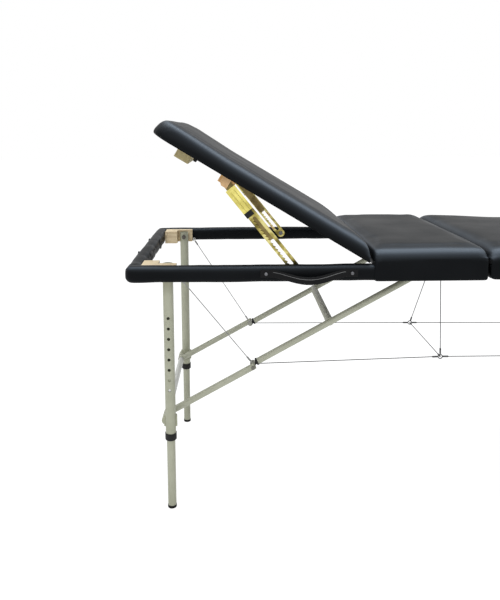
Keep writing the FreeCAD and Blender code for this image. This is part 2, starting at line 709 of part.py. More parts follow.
def brace_bolt(leg_y):
    y = upper_brace_y(leg_y)
    grip = BRACE_R + SIDE_FIT + BRACKET_THICK
    shank = rod_y(BRACE_TOP.x, BRACE_TOP.z, y - grip, y + grip, BOLT_R)
    heads = [rod_y(BRACE_TOP.x, BRACE_TOP.z, y + grip, y + grip + BOLT_HEAD_THICK, BOLT_HEAD_R),
             rod_y(BRACE_TOP.x, BRACE_TOP.z, y - grip - BOLT_HEAD_THICK, y - grip, BOLT_HEAD_R)]
    return fused([shank] + heads)


def upper_brace(leg_y):
    y = upper_brace_y(leg_y)
    start = at_y(BRACE_TOP, y) + BRACE_LINE * BRACE_END_OVERRUN
    end = at_y(KNEE, y) + BRACE_LINE * (KNUCKLE_R + 2 * TUBE_WALL + KNUCKLE_FLANGE)
    brace = tube(start, end, BRACE_R, TUBE_WALL)
    return brace.cut(rod_y(BRACE_TOP.x, BRACE_TOP.z, y - 2 * BRACE_R, y + 2 * BRACE_R, BOLT_R + RUN_FIT))


KNUCKLE_FLANGE = 5.0
KNUCKLE_SPIGOT = 18.0
BRACKET_THICK = 3.0


def knee_knuckle(leg_y):
    # Black plug in the end of the upper brace, with the knee eye and the cable lug on it
    y = upper_brace_y(leg_y)
    knee = at_y(KNEE, y)
    flange_start = knee + BRACE_LINE * (KNUCKLE_R + 2 * TUBE_WALL)
    flange_end = flange_start + BRACE_LINE * KNUCKLE_FLANGE
    parts = [rod_y(knee.x, knee.z, y - BRACE_R, y + BRACE_R, KNUCKLE_R),
             rod(knee, flange_start, KNUCKLE_R - TUBE_WALL),
             rod(flange_start, flange_end, BRACE_R + TUBE_WALL),
             rod(flange_end, flange_end + BRACE_LINE * KNUCKLE_SPIGOT, BRACE_R - TUBE_WALL)]
    return fused(parts)


def tie_tube(leg_y):
    # Cross tube between the two upper braces, its ends shaped to sit on them
    y = upper_brace_y(leg_y)
    share = (TIE_TUBE_X - BRACE_TOP_X) / (BRACE_TOP.x - CROSSBAR.x)
    middle = BRACE_TOP + (CROSSBAR - BRACE_TOP) * share
    tie = tube(at_y(middle, -y), at_y(middle, y), TIE_TUBE_R, TUBE_WALL)
    for end_y in (-y, y):
        tie = tie.cut(rod(at_y(BRACE_TOP, end_y), at_y(KNEE, end_y), BRACE_R))
    return max(tie.Solids, key=lambda s: s.Volume)


def brace_bracket(leg_y):
    y = upper_brace_y(leg_y)
    inner, outer = BRACE_R + SIDE_FIT, BRACE_R + SIDE_FIT + BRACKET_THICK
    low, high = BRACE_TOP_Z - 1.5 * BRACE_R, RAIL_TOP - HINGE_LEAF
    face_x = -CENTRE_RAIL_IN
    front_x = BRACE_TOP.x - 1.2 * BRACE_R
    ears = [box(front_x, face_x, y + a, y + b, low, high) for a, b in ((inner, outer), (-outer, -inner))]
    back = box(face_x - BRACKET_THICK, face_x, y - outer, y + outer, low, high)
    return fused(ears + [back]).cut(brace_bolt(leg_y))


# Carry handle on the near side

def handle_screw(x, seat):
    # Seat is how far from the middle of the table the handle's tabs lie
    y = -seat - HANDLE_THICK
    head = rod_y(x, HANDLE_HEIGHT_Z, y - 2.5, y, SCREW_HEAD_R)
    rim = [e for e in head.Edges if e.BoundBox.YLength < 0.01 and e.BoundBox.Center.y < y - 1.0]
    head = head.makeFillet(1.8, rim)
    shank = rod_y(x, HANDLE_HEIGHT_Z, y, y + HANDLE_THICK + BOLT_GRIP, SCREW_HEAD_R / 2)
    return fused([head, shank])


def handle_screw_places():
    return [-HANDLE_MIDDLE_X - HANDLE_SPAN / 2, -HANDLE_MIDDLE_X + HANDLE_SPAN / 2]


def handle_screws(seat):
    return [handle_screw(x, seat) for x in handle_screw_places()]


def carry_handle(seat):
    # A strap bent on one arc, out from the rail and down a little, between two screwed tabs
    left, right = handle_screw_places()
    half_tab = HANDLE_TAB / 2
    y = -seat - HANDLE_THICK / 2
    start = Vector(left + half_tab - HANDLE_THICK, y, HANDLE_HEIGHT_Z)
    end = Vector(right - half_tab + HANDLE_THICK, y, HANDLE_HEIGHT_Z)
    middle = Vector(-HANDLE_MIDDLE_X, -RAIL_OUT - HANDLE_BULGE, HANDLE_HEIGHT_Z - HANDLE_SAG)
    arc = Part.Arc(start, middle, end).toShape()
    circle = arc.Curve
    section = box(middle.x - 0.5, middle.x + 0.5, middle.y - HANDLE_THICK / 2, middle.y + HANDLE_THICK / 2,
                  middle.z - HANDLE_WIDTH / 2, middle.z + HANDLE_WIDTH / 2)
    face = section.Faces[0]
    face.translate(Vector(middle.x - face.CenterOfMass.x, 0, 0))
    half_turn = math.degrees((start - circle.Center).getAngle(middle - circle.Center))
    face.rotate(circle.Center, circle.Axis, -half_turn)
    strap = face.revolve(circle.Center, circle.Axis, 2 * half_turn)
    tabs = [box(x - half_tab, x + half_tab, -seat - HANDLE_THICK, -seat,
                HANDLE_HEIGHT_Z - HANDLE_WIDTH / 2, HANDLE_HEIGHT_Z + HANDLE_WIDTH / 2) for x in (left, right)]
    handle = fused([strap] + tabs)
    behind = box(left - HANDLE_TAB, right + HANDLE_TAB, -seat, 0, RAIL_BOTTOM - HANDLE_SAG, RAIL_TOP)
    return handle.cut(behind).cut(handle_screws(seat))


# Support cables

def eye_place():
    x = BLOCK_LENGTH - END_RAIL_IN + EYE_R + EYE_WIRE_R
    return Vector(x, RAIL_IN - EYE_INSET, EYE_Z)


def cable_eye_shank():
    p = eye_place()
    return rod(p - Vector(EYE_R, 0, 0), p - Vector(EYE_R + BOLT_GRIP, 0, 0), EYE_WIRE_R)


def cable_eye():
    p = eye_place()
    return fused([Part.makeTorus(EYE_R, EYE_WIRE_R, p, AXIS_Y), cable_eye_shank()])


def cable_ring():
    return Part.makeTorus(RING_R, RING_WIRE_R, Vector(-RING_X, RING_Y, RING_Z), AXIS_Y)


def cable(start, end, start_gap, end_gap):
    # Wire rope with a crimped sleeve at each end
    along = (end - start).normalize()
    a, b = start + along * start_gap, end - along * end_gap
    return fused([rod(a, b, CABLE_R), rod(a, a + along * SLEEVE_LENGTH, SLEEVE_R),
                  rod(b - along * SLEEVE_LENGTH, b, SLEEVE_R)])


EYE_CLEAR = EYE_R + EYE_WIRE_R + 0.5
RING_CLEAR = RING_R + RING_WIRE_R + 0.5
KNEE_CLEAR = BRACE_R + 4 * SIDE_FIT
UNDER_RAIL = 1.0


def leg_cable(leg_y):
    knee = at_y(KNEE, upper_brace_y(leg_y))
    return cable(eye_place(), knee, EYE_CLEAR, KNEE_CLEAR)


def ring_cable(leg_y):
    ring = Vector(-RING_X, RING_Y, RING_Z)
    return cable(at_y(KNEE, upper_brace_y(leg_y)), ring, 2 * KNEE_CLEAR, RING_CLEAR)


def riser_cable():
    ring = Vector(-RING_X, RING_Y, RING_Z)
    top = Vector(-RISER_TOP_X, RISER_TOP_Y, RAIL_BOTTOM - UNDER_RAIL)
    return cable(ring, top, RING_CLEAR, SLEEVE_R)


def tie_cable():
    ring = Vector(-RING_X, RING_Y, RING_Z)
    return cable(near(Part.Vertex(ring)).Point, ring, RING_WIRE_R + 0.5, RING_WIRE_R + 0.5)


def foot_ring_cable(leg_y):
    ring = Vector(-RING_X, RING_Y, RING_Z)
    knee = Vector(-KNEE.x, upper_brace_y(leg_y), KNEE.z)
    return cable(ring, knee, RING_CLEAR, 2 * KNEE_CLEAR)


def write_leg_set(half, leg_y, turn):
    # Legs and braces that repeat on both halves; turn places them on their half
    save(half + "_leg_blocks", turn(pair(leg_block(leg_y))))
    save(half + "_leg_tubes", turn(pair(leg_tube(leg_y))))
    save(half + "_leg_crossbar", turn([leg_crossbar(leg_y)]))
    save(half + "_leg_fittings", turn(pair(leg_collar(leg_y)) + pair(crossbar_saddle(leg_y))))
    save(half + "_lower_braces", turn(pair(lower_brace(leg_y))))
    save(half + "_knee_bolts", turn(pair(knee_bolt(leg_y))))
    save(half + "_upper_braces", turn(pair(upper_brace(leg_y)) + [tie_tube(leg_y)]))
    save(half + "_knee_knuckles", turn(pair(knee_knuckle(leg_y))))
    save(half + "_brace_brackets", turn(pair(brace_bracket(leg_y))))
    for side, place in (("near", near), ("far", lambda s: s)):
        save(half + "_" + side + "_lower_leg", turn([place(lower_leg(leg_y))]))
        save(half + "_" + side + "_foot_cap", turn([place(foot_cap(leg_y))]))
        save(half + "_" + side + "_snap_button", turn([place(snap_button(leg_y))]))


def main():
    os.makedirs("parts", exist_ok=True)

    def as_drawn(shapes):
        return shapes

    near_rail, far_rail = pair(side_rail())
    head_near_rail = near_rail.cut([near(stay_bolt())] + handle_screws(RAIL_OUT))
    head_far_rail = far_rail.cut(stay_bolt())
    foot_near_rail = near_rail.cut(handle_screws(TABLE_WIDTH / 2))
    centre_rail = cross_rail(-CENTRE_RAIL_IN, -HALF_GAP)

    # Head half
    save("head_rails", [head_near_rail, head_far_rail, head_end_rail(), centre_rail])
    save("headrest_bushes", pair(socket_bush()))
    save("mid_board", [mid_board()])
    save("mid_pad", [mid_pad()])
    save("mid_side_covers", pair(side_cover(-MID_PAD_END, -HALF_GAP)))
    save("head_hinge_leaves", pair(fold_leaf(-1, False)) + pair(backrest_fixed_leaf()))
    save("hinge_pins", pair(hinge_pin(FOLD_AXIS, CENTRE_HINGE_Y)) + pair(hinge_pin(BACK_HINGE, BACK_HINGE_Y)))
    save("head_fasteners", pair(leg_bolt(HEAD_LEG_Y)) + pair(brace_bolt(HEAD_LEG_Y)) + pair(stay_bolt())
         + handle_screws(RAIL_OUT))
    save("head_handle", [carry_handle(RAIL_OUT)])
    save("head_cable_eyes", pair(cable_eye()))
    save("head_cables", pair(leg_cable(HEAD_LEG_Y)) + pair(ring_cable(HEAD_LEG_Y)) + pair(riser_cable())
         + [tie_cable()] + pair(cable_ring()))
    write_leg_set("head", HEAD_LEG_Y, as_drawn)

    # Backrest and its stays
    save("backrest_board", [backrest_board()])
    save("backrest_pad", [backrest_pad()])
    save("backrest_edge_band", [backrest_edge_band()])
    save("backrest_batten", [backrest_batten()])
    save("backrest_hinge_leaves", pair(backrest_moving_leaf()))
    save("stay_brackets", pair(stay_bracket()))
    save("stay_blocks", pair(stay_block()))
    save("stay_bars", pair(stay_bar()))
    save("stay_arms", pair(stay_arm()))
    save("stay_collars", pair(stay_collar()))

    # Foot half
    save("foot_rails", foot_half([foot_near_rail, far_rail, end_rail(), centre_rail]))
    save("foot_board", [foot_board()])
    save("foot_pad", [foot_pad()])
    near_cover, far_cover = pair(side_cover(HALF_GAP, HALF_LENGTH - CORNER_ROUND))
    outer_screws = foot_half(handle_screws(TABLE_WIDTH / 2))
    save("foot_side_covers", [near_cover.cut(outer_screws), far_cover])
    save("foot_hinge_leaves", pair(fold_leaf(1, True)))
    save("foot_fasteners", foot_half(pair(leg_bolt(FOOT_LEG_Y)) + pair(brace_bolt(FOOT_LEG_Y))) + outer_screws)
    save("foot_handle", foot_half([carry_handle(TABLE_WIDTH / 2)]))
    save("foot_cable_eyes", foot_half(pair(cable_eye())))
    save("foot_cables", foot_half(pair(leg_cable(FOOT_LEG_Y))) + pair(foot_ring_cable(FOOT_LEG_Y)))
    write_leg_set("foot", FOOT_LEG_Y, foot_half)

    print("knee", KNEE, "stay slope flat, rest, highest:",
          [round(stay_slope(a), 2) for a in (0, BACKREST_ANGLE, BACKREST_MAX_ANGLE)])


main()
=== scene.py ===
import bpy
import bmesh
import json
import math
from mathutils import Matrix, Vector, noise


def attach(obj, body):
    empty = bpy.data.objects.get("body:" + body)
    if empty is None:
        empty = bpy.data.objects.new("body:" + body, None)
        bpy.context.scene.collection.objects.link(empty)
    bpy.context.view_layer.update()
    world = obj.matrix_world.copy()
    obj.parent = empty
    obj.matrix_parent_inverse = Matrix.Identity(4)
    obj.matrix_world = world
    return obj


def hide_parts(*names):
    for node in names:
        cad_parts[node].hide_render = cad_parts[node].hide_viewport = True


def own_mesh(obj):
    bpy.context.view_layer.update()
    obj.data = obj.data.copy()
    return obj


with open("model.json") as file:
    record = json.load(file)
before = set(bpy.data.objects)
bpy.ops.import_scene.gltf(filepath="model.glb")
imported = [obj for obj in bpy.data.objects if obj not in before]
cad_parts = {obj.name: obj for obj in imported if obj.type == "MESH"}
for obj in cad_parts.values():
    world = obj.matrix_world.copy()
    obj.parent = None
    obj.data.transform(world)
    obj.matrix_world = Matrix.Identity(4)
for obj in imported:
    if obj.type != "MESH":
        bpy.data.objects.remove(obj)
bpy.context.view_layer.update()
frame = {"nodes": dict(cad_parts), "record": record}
cadNodes = frame["nodes"]
scene = bpy.context.scene
tiny = 1e-4      # closer than this counts as the same place; all sizes are in metres
print("frame loaded,", len(cadNodes), "nodes")


# small tools

def deselectAll():
    bpy.ops.object.select_all(action="DESELECT")


def clamp(value):
    return min(1.0, max(0.0, value))


def makeActive(obj):
    deselectAll()
    obj.select_set(True)
    bpy.context.view_layer.objects.active = obj


def addBlock(name, low, high):
    deselectAll()
    middle = [(a + b) / 2 for a, b in zip(low, high)]
    bpy.ops.mesh.primitive_cube_add(size=1, location=middle)
    obj = bpy.context.object
    obj.name = name
    obj.scale = [b - a for a, b in zip(low, high)]
    bpy.ops.object.transform_apply(location=True, rotation=True, scale=True)
    return obj


def addRod(name, start, end, radius, sides=12):
    deselectAll()
    start, end = Vector(start), Vector(end)
    along = end - start
    bpy.ops.mesh.primitive_cylinder_add(vertices=sides, radius=radius, depth=along.length,
                                        location=(start + end) / 2,
                                        rotation=along.to_track_quat("Z", "Y").to_euler())
    obj = bpy.context.object
    obj.name = name
    bpy.ops.object.transform_apply(location=True, rotation=True, scale=True)
    return obj


def pickEdges(obj, wanted):      # leaves the object in edit mode with those edges selected
    makeActive(obj)
    bpy.ops.object.mode_set(mode="EDIT")
    bpy.ops.mesh.select_mode(type="EDGE")
    bpy.ops.mesh.select_all(action="DESELECT")
    shape = bmesh.from_edit_mesh(obj.data)
    for edge in shape.edges:
        edge.select_set(bool(wanted(edge.verts[0].co, edge.verts[1].co)))
    bmesh.update_edit_mesh(obj.data)


def bevelEdges(obj, wanted, width, segments):
    pickEdges(obj, wanted)
    bpy.ops.mesh.bevel(offset=width, segments=segments, affect="EDGES")
    bpy.ops.object.mode_set(mode="OBJECT")


def cutEdges(obj, wanted, cuts):
    pickEdges(obj, wanted)
    bpy.ops.mesh.subdivide(number_cuts=cuts)
    bpy.ops.object.mode_set(mode="OBJECT")


def bothAt(a, b, x):      # an edge that lies across the part at x
    return abs(a.x - x) < tiny and abs(b.x - x) < tiny


def useModifier(obj, kind, **values):
    makeActive(obj)
    tool = obj.modifiers.new(kind.lower(), kind)
    for name, value in values.items():
        setattr(tool, name, value)
    bpy.ops.object.modifier_apply(modifier=tool.name)


def roundOff(obj, width, segments, angle=50):      # bevels every edge sharper than the angle
    useModifier(obj, "BEVEL", width=width, segments=segments, limit_method="ANGLE",
                angle_limit=math.radians(angle))


def cutAway(obj, cutter):
    useModifier(obj, "BOOLEAN", operation="DIFFERENCE", object=cutter, solver="MANIFOLD")
    bpy.data.objects.remove(cutter)


def joinAll(name, pieces):
    deselectAll()
    for piece in pieces:
        piece.select_set(True)
    bpy.context.view_layer.objects.active = pieces[0]
    bpy.ops.object.join()
    whole = bpy.context.object
    whole.name = name
    return whole


def smoothShade(obj, angle=50):
    makeActive(obj)
    bpy.ops.object.shade_smooth_by_angle(angle=math.radians(angle))


def dress(obj, finish, body):
    obj.data.materials.clear()
    obj.data.materials.append(finishes[finish])
    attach(obj, body)


# shader groups shared by several materials

def startGroup(name, inputs, outputs):
    tree = bpy.data.node_groups.new(name, "ShaderNodeTree")
    for label, kind, value in inputs:
        socket = tree.interface.new_socket(name=label, in_out="INPUT", socket_type=kind)
        socket.default_value = value
    for label, kind in outputs:
        tree.interface.new_socket(name=label, in_out="OUTPUT", socket_type=kind)
    return tree, tree.nodes.new("NodeGroupInput"), tree.nodes.new("NodeGroupOutput")


def addNode(tree, kind, **values):
    node = tree.nodes.new(kind)
    for name, value in values.items():
        if name in node.inputs:
            node.inputs[name].default_value = value
        else:
            setattr(node, name, value)
    return node


def link(tree, source, target):
    tree.links.new(source, target)


def makeGrainGroup():      # pebbled skin of coated cloth: pebbles, creases between them and slow patches
    tree, inside, outside = startGroup(
        "pebbledSkin",
        [("Scale", "NodeSocketFloat", 900.0), ("Patch Scale", "NodeSocketFloat", 9.0)],
        [("Height", "NodeSocketFloat"), ("Patches", "NodeSocketFloat")])
    place = addNode(tree, "ShaderNodeTexCoord")
    pebbles = addNode(tree, "ShaderNodeTexVoronoi", feature="SMOOTH_F1")
    creases = addNode(tree, "ShaderNodeTexNoise", Detail=3.0)
    patches = addNode(tree, "ShaderNodeTexNoise", Detail=2.0)
    total = addNode(tree, "ShaderNodeMath", operation="MULTIPLY_ADD")
    total.inputs[1].default_value = 0.6      # pebbles count less than creases
    for node in (pebbles, creases, patches):
        link(tree, place.outputs["Object"], node.inputs["Vector"])
    link(tree, inside.outputs["Scale"], pebbles.inputs["Scale"])
    link(tree, inside.outputs["Scale"], creases.inputs["Scale"])
    link(tree, inside.outputs["Patch Scale"], patches.inputs["Scale"])
    link(tree, pebbles.outputs["Distance"], total.inputs[0])
    link(tree, creases.outputs["Fac"], total.inputs[2])
    link(tree, total.outputs[0], outside.inputs["Height"])
    link(tree, patches.outputs["Fac"], outside.inputs["Patches"])
    return tree


def makeSpeckGroup():      # fine speckle with soft grime, for paint, plastic and rubber
    tree, inside, outside = startGroup(
        "fineSpeckle",
        [("Speck Scale", "NodeSocketFloat", 1400.0), ("Grime Scale", "NodeSocketFloat", 22.0)],
        [("Height", "NodeSocketFloat"), ("Grime", "NodeSocketFloat")])
    place = addNode(tree, "ShaderNodeTexCoord")
    specks = addNode(tree, "ShaderNodeTexNoise", Detail=2.0)
    grime = addNode(tree, "ShaderNodeTexNoise", Detail=5.0, Roughness=0.62)
    for node in (specks, grime):
        link(tree, place.outputs["Object"], node.inputs["Vector"])
    link(tree, inside.outputs["Speck Scale"], specks.inputs["Scale"])
    link(tree, inside.outputs["Grime Scale"], grime.inputs["Scale"])
    link(tree, specks.outputs["Fac"], outside.inputs["Height"])
    link(tree, grime.outputs["Fac"], outside.inputs["Grime"])
    return tree


def makeStreakGroup():      # drawn or brushed metal: long thin streaks and stains
    tree, inside, outside = startGroup(
        "drawnStreaks",
        [("Stretch", "NodeSocketVector", (60.0, 900.0, 900.0)), ("Stain Scale", "NodeSocketFloat", 45.0)],
        [("Streaks", "NodeSocketFloat"), ("Stains", "NodeSocketFloat")])
    place = addNode(tree, "ShaderNodeTexCoord")
    stretch = addNode(tree, "ShaderNodeVectorMath", operation="MULTIPLY")
    streaks = addNode(tree, "ShaderNodeTexNoise", Detail=3.0, Scale=1.0)
    stains = addNode(tree, "ShaderNodeTexNoise", Detail=4.0)
    link(tree, place.outputs["Object"], stretch.inputs[0])
    link(tree, inside.outputs["Stretch"], stretch.inputs[1])
    link(tree, stretch.outputs[0], streaks.inputs["Vector"])
    link(tree, place.outputs["Object"], stains.inputs["Vector"])
    link(tree, inside.outputs["Stain Scale"], stains.inputs["Scale"])
    link(tree, streaks.outputs["Fac"], outside.inputs["Streaks"])
    link(tree, stains.outputs["Fac"], outside.inputs["Stains"])
    return tree


def makeWoodGroup():      # long grain with darker rings and fine pores
    tree, inside, outside = startGroup(
        "woodGrain",
        [("Stretch", "NodeSocketVector", (6.0, 90.0, 90.0))],
        [("Rings", "NodeSocketFloat"), ("Pores", "NodeSocketFloat")])
    place = addNode(tree, "ShaderNodeTexCoord")
    stretch = addNode(tree, "ShaderNodeVectorMath", operation="MULTIPLY")
    rings = addNode(tree, "ShaderNodeTexNoise", Detail=4.0, Roughness=0.6, Distortion=0.6, Scale=1.0)
    pores = addNode(tree, "ShaderNodeTexNoise", Detail=2.0, Scale=9.0)
    link(tree, place.outputs["Object"], stretch.inputs[0])
    link(tree, inside.outputs["Stretch"], stretch.inputs[1])
    link(tree, stretch.outputs[0], rings.inputs["Vector"])
    link(tree, stretch.outputs[0], pores.inputs["Vector"])
    link(tree, rings.outputs["Fac"], outside.inputs["Rings"])
    link(tree, pores.outputs["Fac"], outside.inputs["Pores"])
    return tree


pebbledSkin = makeGrainGroup()
fineSpeckle = makeSpeckGroup()
drawnStreaks = makeStreakGroup()
woodGrain = makeWoodGroup()


def startMaterial(name, group, values):
    material = bpy.data.materials.new(name)
    material.use_nodes = True
    tree = material.node_tree
    shader = tree.nodes["Principled BSDF"]
    source = tree.nodes.new("ShaderNodeGroup")
    source.node_tree = group
    for label, value in values.items():
        source.inputs[label].default_value = value
    return material, tree, shader, source


def blendColour(tree, shader, factor, darkColour, lightColour, low=0.35, high=0.65):
    ramp = addNode(tree, "ShaderNodeValToRGB")
    ramp.color_ramp.elements[0].position = low
    ramp.color_ramp.elements[1].position = high
    ramp.color_ramp.elements[0].color = (*darkColour, 1)
    ramp.color_ramp.elements[1].color = (*lightColour, 1)
    link(tree, factor, ramp.inputs["Fac"])
    link(tree, ramp.outputs["Color"], shader.inputs["Base Color"])


def spreadRoughness(tree, shader, factor, smooth, rough):
    spread = addNode(tree, "ShaderNodeMapRange")
    spread.inputs["From Min"].default_value = 0.3      # noise seldom leaves 0.3 to 0.7
    spread.inputs["From Max"].default_value = 0.7
    spread.inputs["To Min"].default_value = smooth
    spread.inputs["To Max"].default_value = rough
    link(tree, factor, spread.inputs["Value"])
    link(tree, spread.outputs["Result"], shader.inputs["Roughness"])


def bumpFrom(tree, shader, height, strength, distance):
    bump = addNode(tree, "ShaderNodeBump", Strength=strength, Distance=distance)
    link(tree, height, bump.inputs["Height"])
    link(tree, bump.outputs["Normal"], shader.inputs["Normal"])


# edge is a painted highlight: a bluish grey mixed into the base colour where the cover turns over an edge
vinylLook = {"dark": (0.0026, 0.0028, 0.0034), "light": (0.0044, 0.0048, 0.0056), "smooth": 0.42, "rough": 0.51,
             "sheen": (0.86, 0.95, 1.0), "gloss": 0.075, "edgeShine": 0.10, "edge": (0.078, 0.092, 0.110),
             "pebbles": 700.0, "patches": 7.0, "bump": 0.10, "bumpDepth": 0.0004}


def makeVinyl():
    look = vinylLook
    material, tree, shader, skin = startMaterial(
        "blackVinyl", pebbledSkin, {"Scale": look["pebbles"], "Patch Scale": look["patches"]})
    blendColour(tree, shader, skin.outputs["Patches"], look["dark"], look["light"])
    spreadRoughness(tree, shader, skin.outputs["Patches"], look["smooth"], look["rough"])
    even = shader.inputs["Roughness"].links[0].from_socket
    tautEdgeAndHighlight = addNode(tree, "ShaderNodeAttribute", attribute_name="stretch")      # tight over an edge, so shinier there; the same mask places the painted highlight colour below
    shinier = addNode(tree, "ShaderNodeMath", operation="MULTIPLY_ADD")
    shinier.inputs[1].default_value = -look["edgeShine"]
    link(tree, tautEdgeAndHighlight.outputs["Fac"], shinier.inputs[0])
    link(tree, even, shinier.inputs[2])
    link(tree, shinier.outputs[0], shader.inputs["Roughness"])
    plain = shader.inputs["Base Color"].links[0].from_socket
    paintedEdgeHighlight = addNode(tree, "ShaderNodeMix", data_type="RGBA")      # and a painted bluish-grey highlight colour laid over the rounded edges
    paintedEdgeHighlight.inputs[7].default_value = (*look["edge"], 1)
    link(tree, tautEdgeAndHighlight.outputs["Fac"], paintedEdgeHighlight.inputs["Factor"])
    link(tree, plain, paintedEdgeHighlight.inputs[6])
    link(tree, paintedEdgeHighlight.outputs[2], shader.inputs["Base Color"])
    bumpFrom(tree, shader, skin.outputs["Height"], look["bump"], look["bumpDepth"])
    shader.inputs["Specular IOR Level"].default_value = look["gloss"]
    shader.inputs["Specular Tint"].default_value = (*look["sheen"], 1)
    return material


paintSkin = {"specks": 1300.0, "grime": 14.0, "low": 0.3, "high": 0.6, "bump": 0.12, "bumpDepth": 0.0002}


def makePaint(name, look):      # paint, plastic, rubber, webbing and thread
    skin = paintSkin
    material, tree, shader, speck = startMaterial(
        name, fineSpeckle, {"Speck Scale": skin["specks"], "Grime Scale": skin["grime"]})
    blendColour(tree, shader, speck.outputs["Grime"], look["dark"], look["light"], skin["low"], skin["high"])
    spreadRoughness(tree, shader, speck.outputs["Grime"], look["smooth"], look["rough"])
    bumpFrom(tree, shader, speck.outputs["Height"], skin["bump"], skin["bumpDepth"])
    if "gloss" in look:
        shader.inputs["Specular IOR Level"].default_value = look["gloss"]
    return material


metalSkin = {"stains": 60.0, "bump": 0.08, "bumpDepth": 0.0002}


def makeMetal(name, look):
    material, tree, shader, streak = startMaterial(
        name, drawnStreaks, {"Stretch": look["stretch"], "Stain Scale": metalSkin["stains"]})
    blendColour(tree, shader, streak.outputs["Stains"], look["dark"], look["light"])
    spreadRoughness(tree, shader, streak.outputs["Streaks"], look["smooth"], look["rough"])
    bumpFrom(tree, shader, streak.outputs["Streaks"], metalSkin["bump"], metalSkin["bumpDepth"])
    shader.inputs["Metallic"].default_value = 1.0
    return material


woodSkin = {"low": 0.3, "high": 0.62, "bump": 0.15, "bumpDepth": 0.0003}


def makeWood(name, look):
    skin = woodSkin
    material, tree, shader, grain = startMaterial(name, woodGrain, {"Stretch": look["stretch"]})
    blendColour(tree, shader, grain.outputs["Rings"], look["dark"], look["light"], skin["low"], skin["high"])
    spreadRoughness(tree, shader, grain.outputs["Pores"], look["smooth"], look["rough"])
    bumpFrom(tree, shader, grain.outputs["Pores"], skin["bump"], skin["bumpDepth"])
    return material


zincLook = {"stops": ((0.34, (0.17, 0.14, 0.035)), (0.46, (0.42, 0.35, 0.10)), (0.55, (0.74, 0.68, 0.28)),
                      (0.66, (0.46, 0.31, 0.13))), "smooth": 0.22, "rough": 0.38, "stretch": (160.0, 900.0, 160.0),
            "stains": 30.0, "bump": 0.10, "bumpDepth": 0.0003}


def makeZinc():      # yellow passivated zinc runs from olive through gold to a pink tinge
    material, tree, shader, streak = startMaterial(
        "yellowZinc", drawnStreaks, {"Stretch": zincLook["stretch"], "Stain Scale": zincLook["stains"]})
    ramp = addNode(tree, "ShaderNodeValToRGB")
    stops = ramp.color_ramp.elements
    while len(stops) < len(zincLook["stops"]):
        stops.new(0.5)
    for stop, (place, colour) in zip(stops, zincLook["stops"]):
        stop.position = place
        stop.color = (*colour, 1)
    link(tree, streak.outputs["Stains"], ramp.inputs["Fac"])
    link(tree, ramp.outputs["Color"], shader.inputs["Base Color"])
    spreadRoughness(tree, shader, streak.outputs["Streaks"], zincLook["smooth"], zincLook["rough"])
    bumpFrom(tree, shader, streak.outputs["Streaks"], zincLook["bump"], zincLook["bumpDepth"])
    shader.inputs["Metallic"].default_value = 1.0
    return material


def maskBeyond(tree, axis, limit, bothWays):      # 1 where the object coordinate lies past the limit
    place = addNode(tree, "ShaderNodeTexCoord")
    split = addNode(tree, "ShaderNodeSeparateXYZ")
    link(tree, place.outputs["Object"], split.inputs[0])
    value = split.outputs[axis]
    if bothWays:
        size = addNode(tree, "ShaderNodeMath", operation="ABSOLUTE")
        link(tree, value, size.inputs[0])
        value = size.outputs[0]
    test = addNode(tree, "ShaderNodeMath", operation="GREATER_THAN")
    test.inputs[1].default_value = limit
    link(tree, value, test.inputs[0])
    return test.outputs[0]


twoFinishSkin = {"specks": 1300.0, "grime": 30.0, "low": 0.3, "high": 0.6, "bump": 0.10, "bumpDepth": 0.0002}


def makeTwoFinish(name, look):      # one part, two finishes split at a coordinate
    skin, nearLook, farLook = twoFinishSkin, look["near"], look["far"]
    material, tree, shader, speck = startMaterial(
        name, fineSpeckle, {"Speck Scale": skin["specks"], "Grime Scale": skin["grime"]})
    mask = maskBeyond(tree, look["axis"], look["splitAt"], look["bothWays"])
    both = addNode(tree, "ShaderNodeMix", data_type="RGBA")
    link(tree, mask, both.inputs["Factor"])
    for side, slot in ((nearLook, 6), (farLook, 7)):      # the mix node's first and second colour
        blendColour(tree, shader, speck.outputs["Grime"], side["dark"], side["light"], skin["low"], skin["high"])
        link(tree, shader.inputs["Base Color"].links[0].from_socket, both.inputs[slot])
    link(tree, both.outputs[2], shader.inputs["Base Color"])
    for socket, key in (("Roughness", "rough"), ("Metallic", "metal")):
        spread = addNode(tree, "ShaderNodeMapRange")
        spread.inputs["To Min"].default_value = nearLook[key]
        spread.inputs["To Max"].default_value = farLook[key]
        link(tree, mask, spread.inputs["Value"])
        link(tree, spread.outputs["Result"], shader.inputs[socket])
    bumpFrom(tree, shader, speck.outputs["Height"], skin["bump"], skin["bumpDepth"])
    if "gloss" in look:
        shader.inputs["Specular IOR Level"].default_value = look["gloss"]
    return material


paintLooks = {
    "legPaint": {"dark": (0.365, 0.37, 0.268), "light": (0.435, 0.44, 0.332), "smooth": 0.34, "rough": 0.46},
    "bracePaint": {"dark": (0.38, 0.385, 0.29), "light": (0.44, 0.445, 0.345), "smooth": 0.36, "rough": 0.48},
    "barPaint": {"dark": (0.58, 0.58, 0.54), "light": (0.68, 0.68, 0.64), "smooth": 0.34, "rough": 0.46},
    "blackPlastic": {"dark": (0.010, 0.010, 0.010), "light": (0.020, 0.020, 0.020), "smooth": 0.42, "rough": 0.56,
                     "gloss": 0.15},
    "tipRubber": {"dark": (0.010, 0.010, 0.009), "light": (0.022, 0.021, 0.020), "smooth": 0.66, "rough": 0.82,
                  "gloss": 0.15},
    "webbing": {"dark": (0.0030, 0.0030, 0.0034), "light": (0.0060, 0.0060, 0.0066), "smooth": 0.62, "rough": 0.78,
                "gloss": 0.15},
    "lining": {"dark": (0.0030, 0.0030, 0.0034), "light": (0.0060, 0.0060, 0.0066), "smooth": 0.74, "rough": 0.90,
               "gloss": 0.10},
    "thread": {"dark": (0.10, 0.10, 0.10), "light": (0.17, 0.17, 0.17), "smooth": 0.6, "rough": 0.8}}
